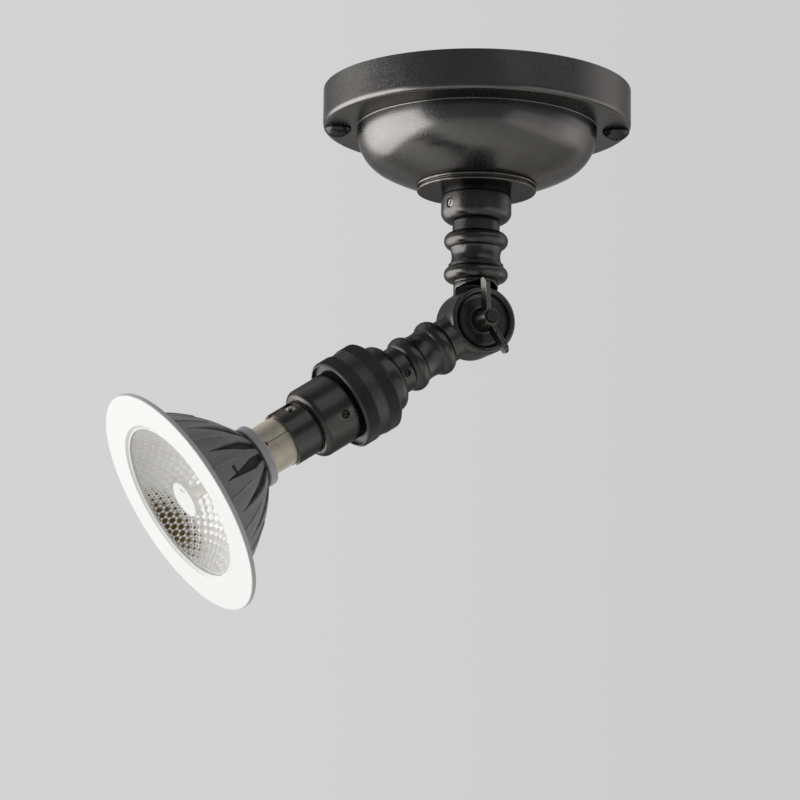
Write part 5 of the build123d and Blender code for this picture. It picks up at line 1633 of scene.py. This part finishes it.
# The nodes that keep their solid's shape, by finish
DRESSED = {
    "bright_steel": ("ceiling_bracket", "spigot_washer", "spigot_locknut", "terminal_screws", "earth_screw",
                     "nut_washer", "plunger_springs"),
    "turned_bronze": ("rose_spigot",),
    "cast_bronze": ("knuckle_bolt",),
    "bare_brass": ("insert_terminals", "insert_screws", "contact_plungers"),
    "solder": ("lamp_contacts",),
    "circuit_board": ("driver_board", "led_board"),
    "dark_moulding": ("knuckle_washer", "holder_insert", "cap_insulator"),
    "pale_moulding": ("terminal_block",),
    "wire_cover": ("rose_wires", "column_wires", "arm_wires"),
    "phosphor": ("led_chip",),
    "white_cap": ("centre_post",),
}


class SPOTLIGHT_OT_inner_pieces(bpy.types.Operator):
    """Give the pieces that keep their solid's shape their finishes"""
    bl_idname = "spotlight.inner_pieces"
    bl_label = "Inner pieces"

    def execute(self, context):
        for finish, nodes in DRESSED.items():
            for node in nodes:
                coat(frame["nodes"][node].data, finish)
        return {"FINISHED"}


# Stage

def soft_light(name, way, far, size, watts, target):
    """A large soft light, some way off in a direction, aimed at the object."""
    lamp = bpy.data.lights.new(name, "AREA")
    lamp.shape = "RECTANGLE"
    lamp.size, lamp.size_y = size
    lamp.energy = watts
    made = added(name, lamp)
    made.location = target + way.normalized() * far
    made.rotation_euler = way.to_track_quat("Z", "Y").to_euler()


def make_world(look):
    """Pale backdrop behind the object and a dimmer room in front of it."""
    world = bpy.data.worlds.new("studio")
    world.use_nodes = True
    world.node_tree.nodes.clear()
    nodes = Nodes(world.node_tree)
    way = nodes.add("ShaderNodeTexCoord").outputs["Generated"]
    parts = nodes.add("ShaderNodeSeparateXYZ", {0: way}).outputs
    paths = nodes.add("ShaderNodeLightPath").outputs
    behind = nodes.ramp(parts["Y"], *BACKDROP_SPAN)
    room = nodes.mix(behind, rgba(look.room), rgba(look.backdrop))
    far_side = nodes.ramp(parts["X"], *FAR_SIDE_SPAN)
    seen = nodes.mix(far_side, rgba(look.backdrop), rgba(look.backdrop_far))
    direct = nodes.math("MAXIMUM", paths["Is Camera Ray"], paths["Is Transmission Ray"])
    shade = nodes.add("ShaderNodeBackground", {"Color": nodes.mix(direct, room, seen), "Strength": 1.0})
    nodes.add("ShaderNodeOutputWorld", {"Surface": shade})
    bpy.context.scene.world = world


def make_floor(look):
    """A plain pale floor well below the lamp."""
    work = bmesh.new()
    bmesh.ops.create_grid(work, x_segments=FLOOR_GRID, y_segments=FLOOR_GRID, size=FLOOR_SIZE / 2)
    mesh = mesh_of(work, "floor")
    mesh.transform(Matrix.Translation((0, 0, -FLOOR_DEPTH)))
    nodes, sockets = new_material("floor_paint")
    grain = nodes.group(effects["grain"], {"Scale": 3.0})
    nodes.feed(sockets["Base Color"], nodes.mix(grain, toned(look.floor, 0.96), rgba(look.floor)))
    sockets["Roughness"].default_value = 0.9
    seen = nodes.add("ShaderNodeLightPath").outputs["Is Camera Ray"]
    nodes.feed(sockets["Emission Color"], nodes.mix(seen, rgba((0.0, 0.0, 0.0)), rgba(FLOOR_LIFT)))
    sockets["Emission Strength"].default_value = 1.0
    coat(mesh, "floor_paint")
    added("floor", mesh)


class SPOTLIGHT_OT_stage(bpy.types.Operator):
    """Set the camera, the soft lights, the pale backdrop and the floor"""
    bl_idname = "spotlight.stage"
    bl_label = "Stage"

    def execute(self, context):
        look = sizes("stage")
        scene = context.scene
        low, high = (Vector(corner) for corner in cad_box)
        middle = (low + high) / 2
        make_world(look)
        make_floor(look)
        for name, (way, far, size) in LIGHTS.items():
            soft_light(name, way, far, size, getattr(look, name), middle)
        view = bpy.data.cameras.new("camera")
        view.lens = look.lens
        camera = added("camera", view)
        camera.location = look.camera
        aim = Matrix.Rotation(math.pi / 2 + look.pitch, 4, "X") @ Matrix.Rotation(look.roll, 4, "Z")
        camera.rotation_euler = aim.to_euler()
        scene.camera = camera
        scene.view_settings.view_transform = "Standard"
        return {"FINISHED"}


STEPS = (
    SPOTLIGHT_OT_finishes, SPOTLIGHT_OT_rose, SPOTLIGHT_OT_ledge_screws, SPOTLIGHT_OT_column,
    SPOTLIGHT_OT_knuckle, SPOTLIGHT_OT_wing_nut, SPOTLIGHT_OT_arm, SPOTLIGHT_OT_holder,
    SPOTLIGHT_OT_set_screws, SPOTLIGHT_OT_shade_ring, SPOTLIGHT_OT_lamp_cap, SPOTLIGHT_OT_housing,
    SPOTLIGHT_OT_front_ring, SPOTLIGHT_OT_reflector, SPOTLIGHT_OT_centre_cap, SPOTLIGHT_OT_inner_pieces,
    SPOTLIGHT_OT_stage,
)


class SPOTLIGHT_PT_panel(bpy.types.Panel):
    """Sidebar panel that lists the steps"""
    bl_idname = "SPOTLIGHT_PT_panel"
    bl_label = "Spotlight"
    bl_space_type = "VIEW_3D"
    bl_region_type = "UI"
    bl_category = "Spotlight"

    def draw(self, context):
        for step in STEPS:
            self.layout.operator(step.bl_idname)


SETTINGS = (RoseSizes, StemSizes, HolderSizes, LampSizes, Finishes, StageSettings, Spotlight)
CLASSES = (*SETTINGS, *STEPS, SPOTLIGHT_PT_panel)


def register():
    """Add the classes and the scene's settings."""
    for kind in CLASSES:
        bpy.utils.register_class(kind)
    bpy.types.Scene.spotlight = PointerProperty(type=Spotlight)


def unregister():
    """Take the classes and the scene's settings away again."""
    del bpy.types.Scene.spotlight
    for kind in reversed(CLASSES):
        bpy.utils.unregister_class(kind)


def main():
    """Run every step in order."""
    register()
    for step in STEPS:
        group, name = step.bl_idname.split(".")
        getattr(getattr(bpy.ops, group), name)()


if __name__ == "__main__":
    main()
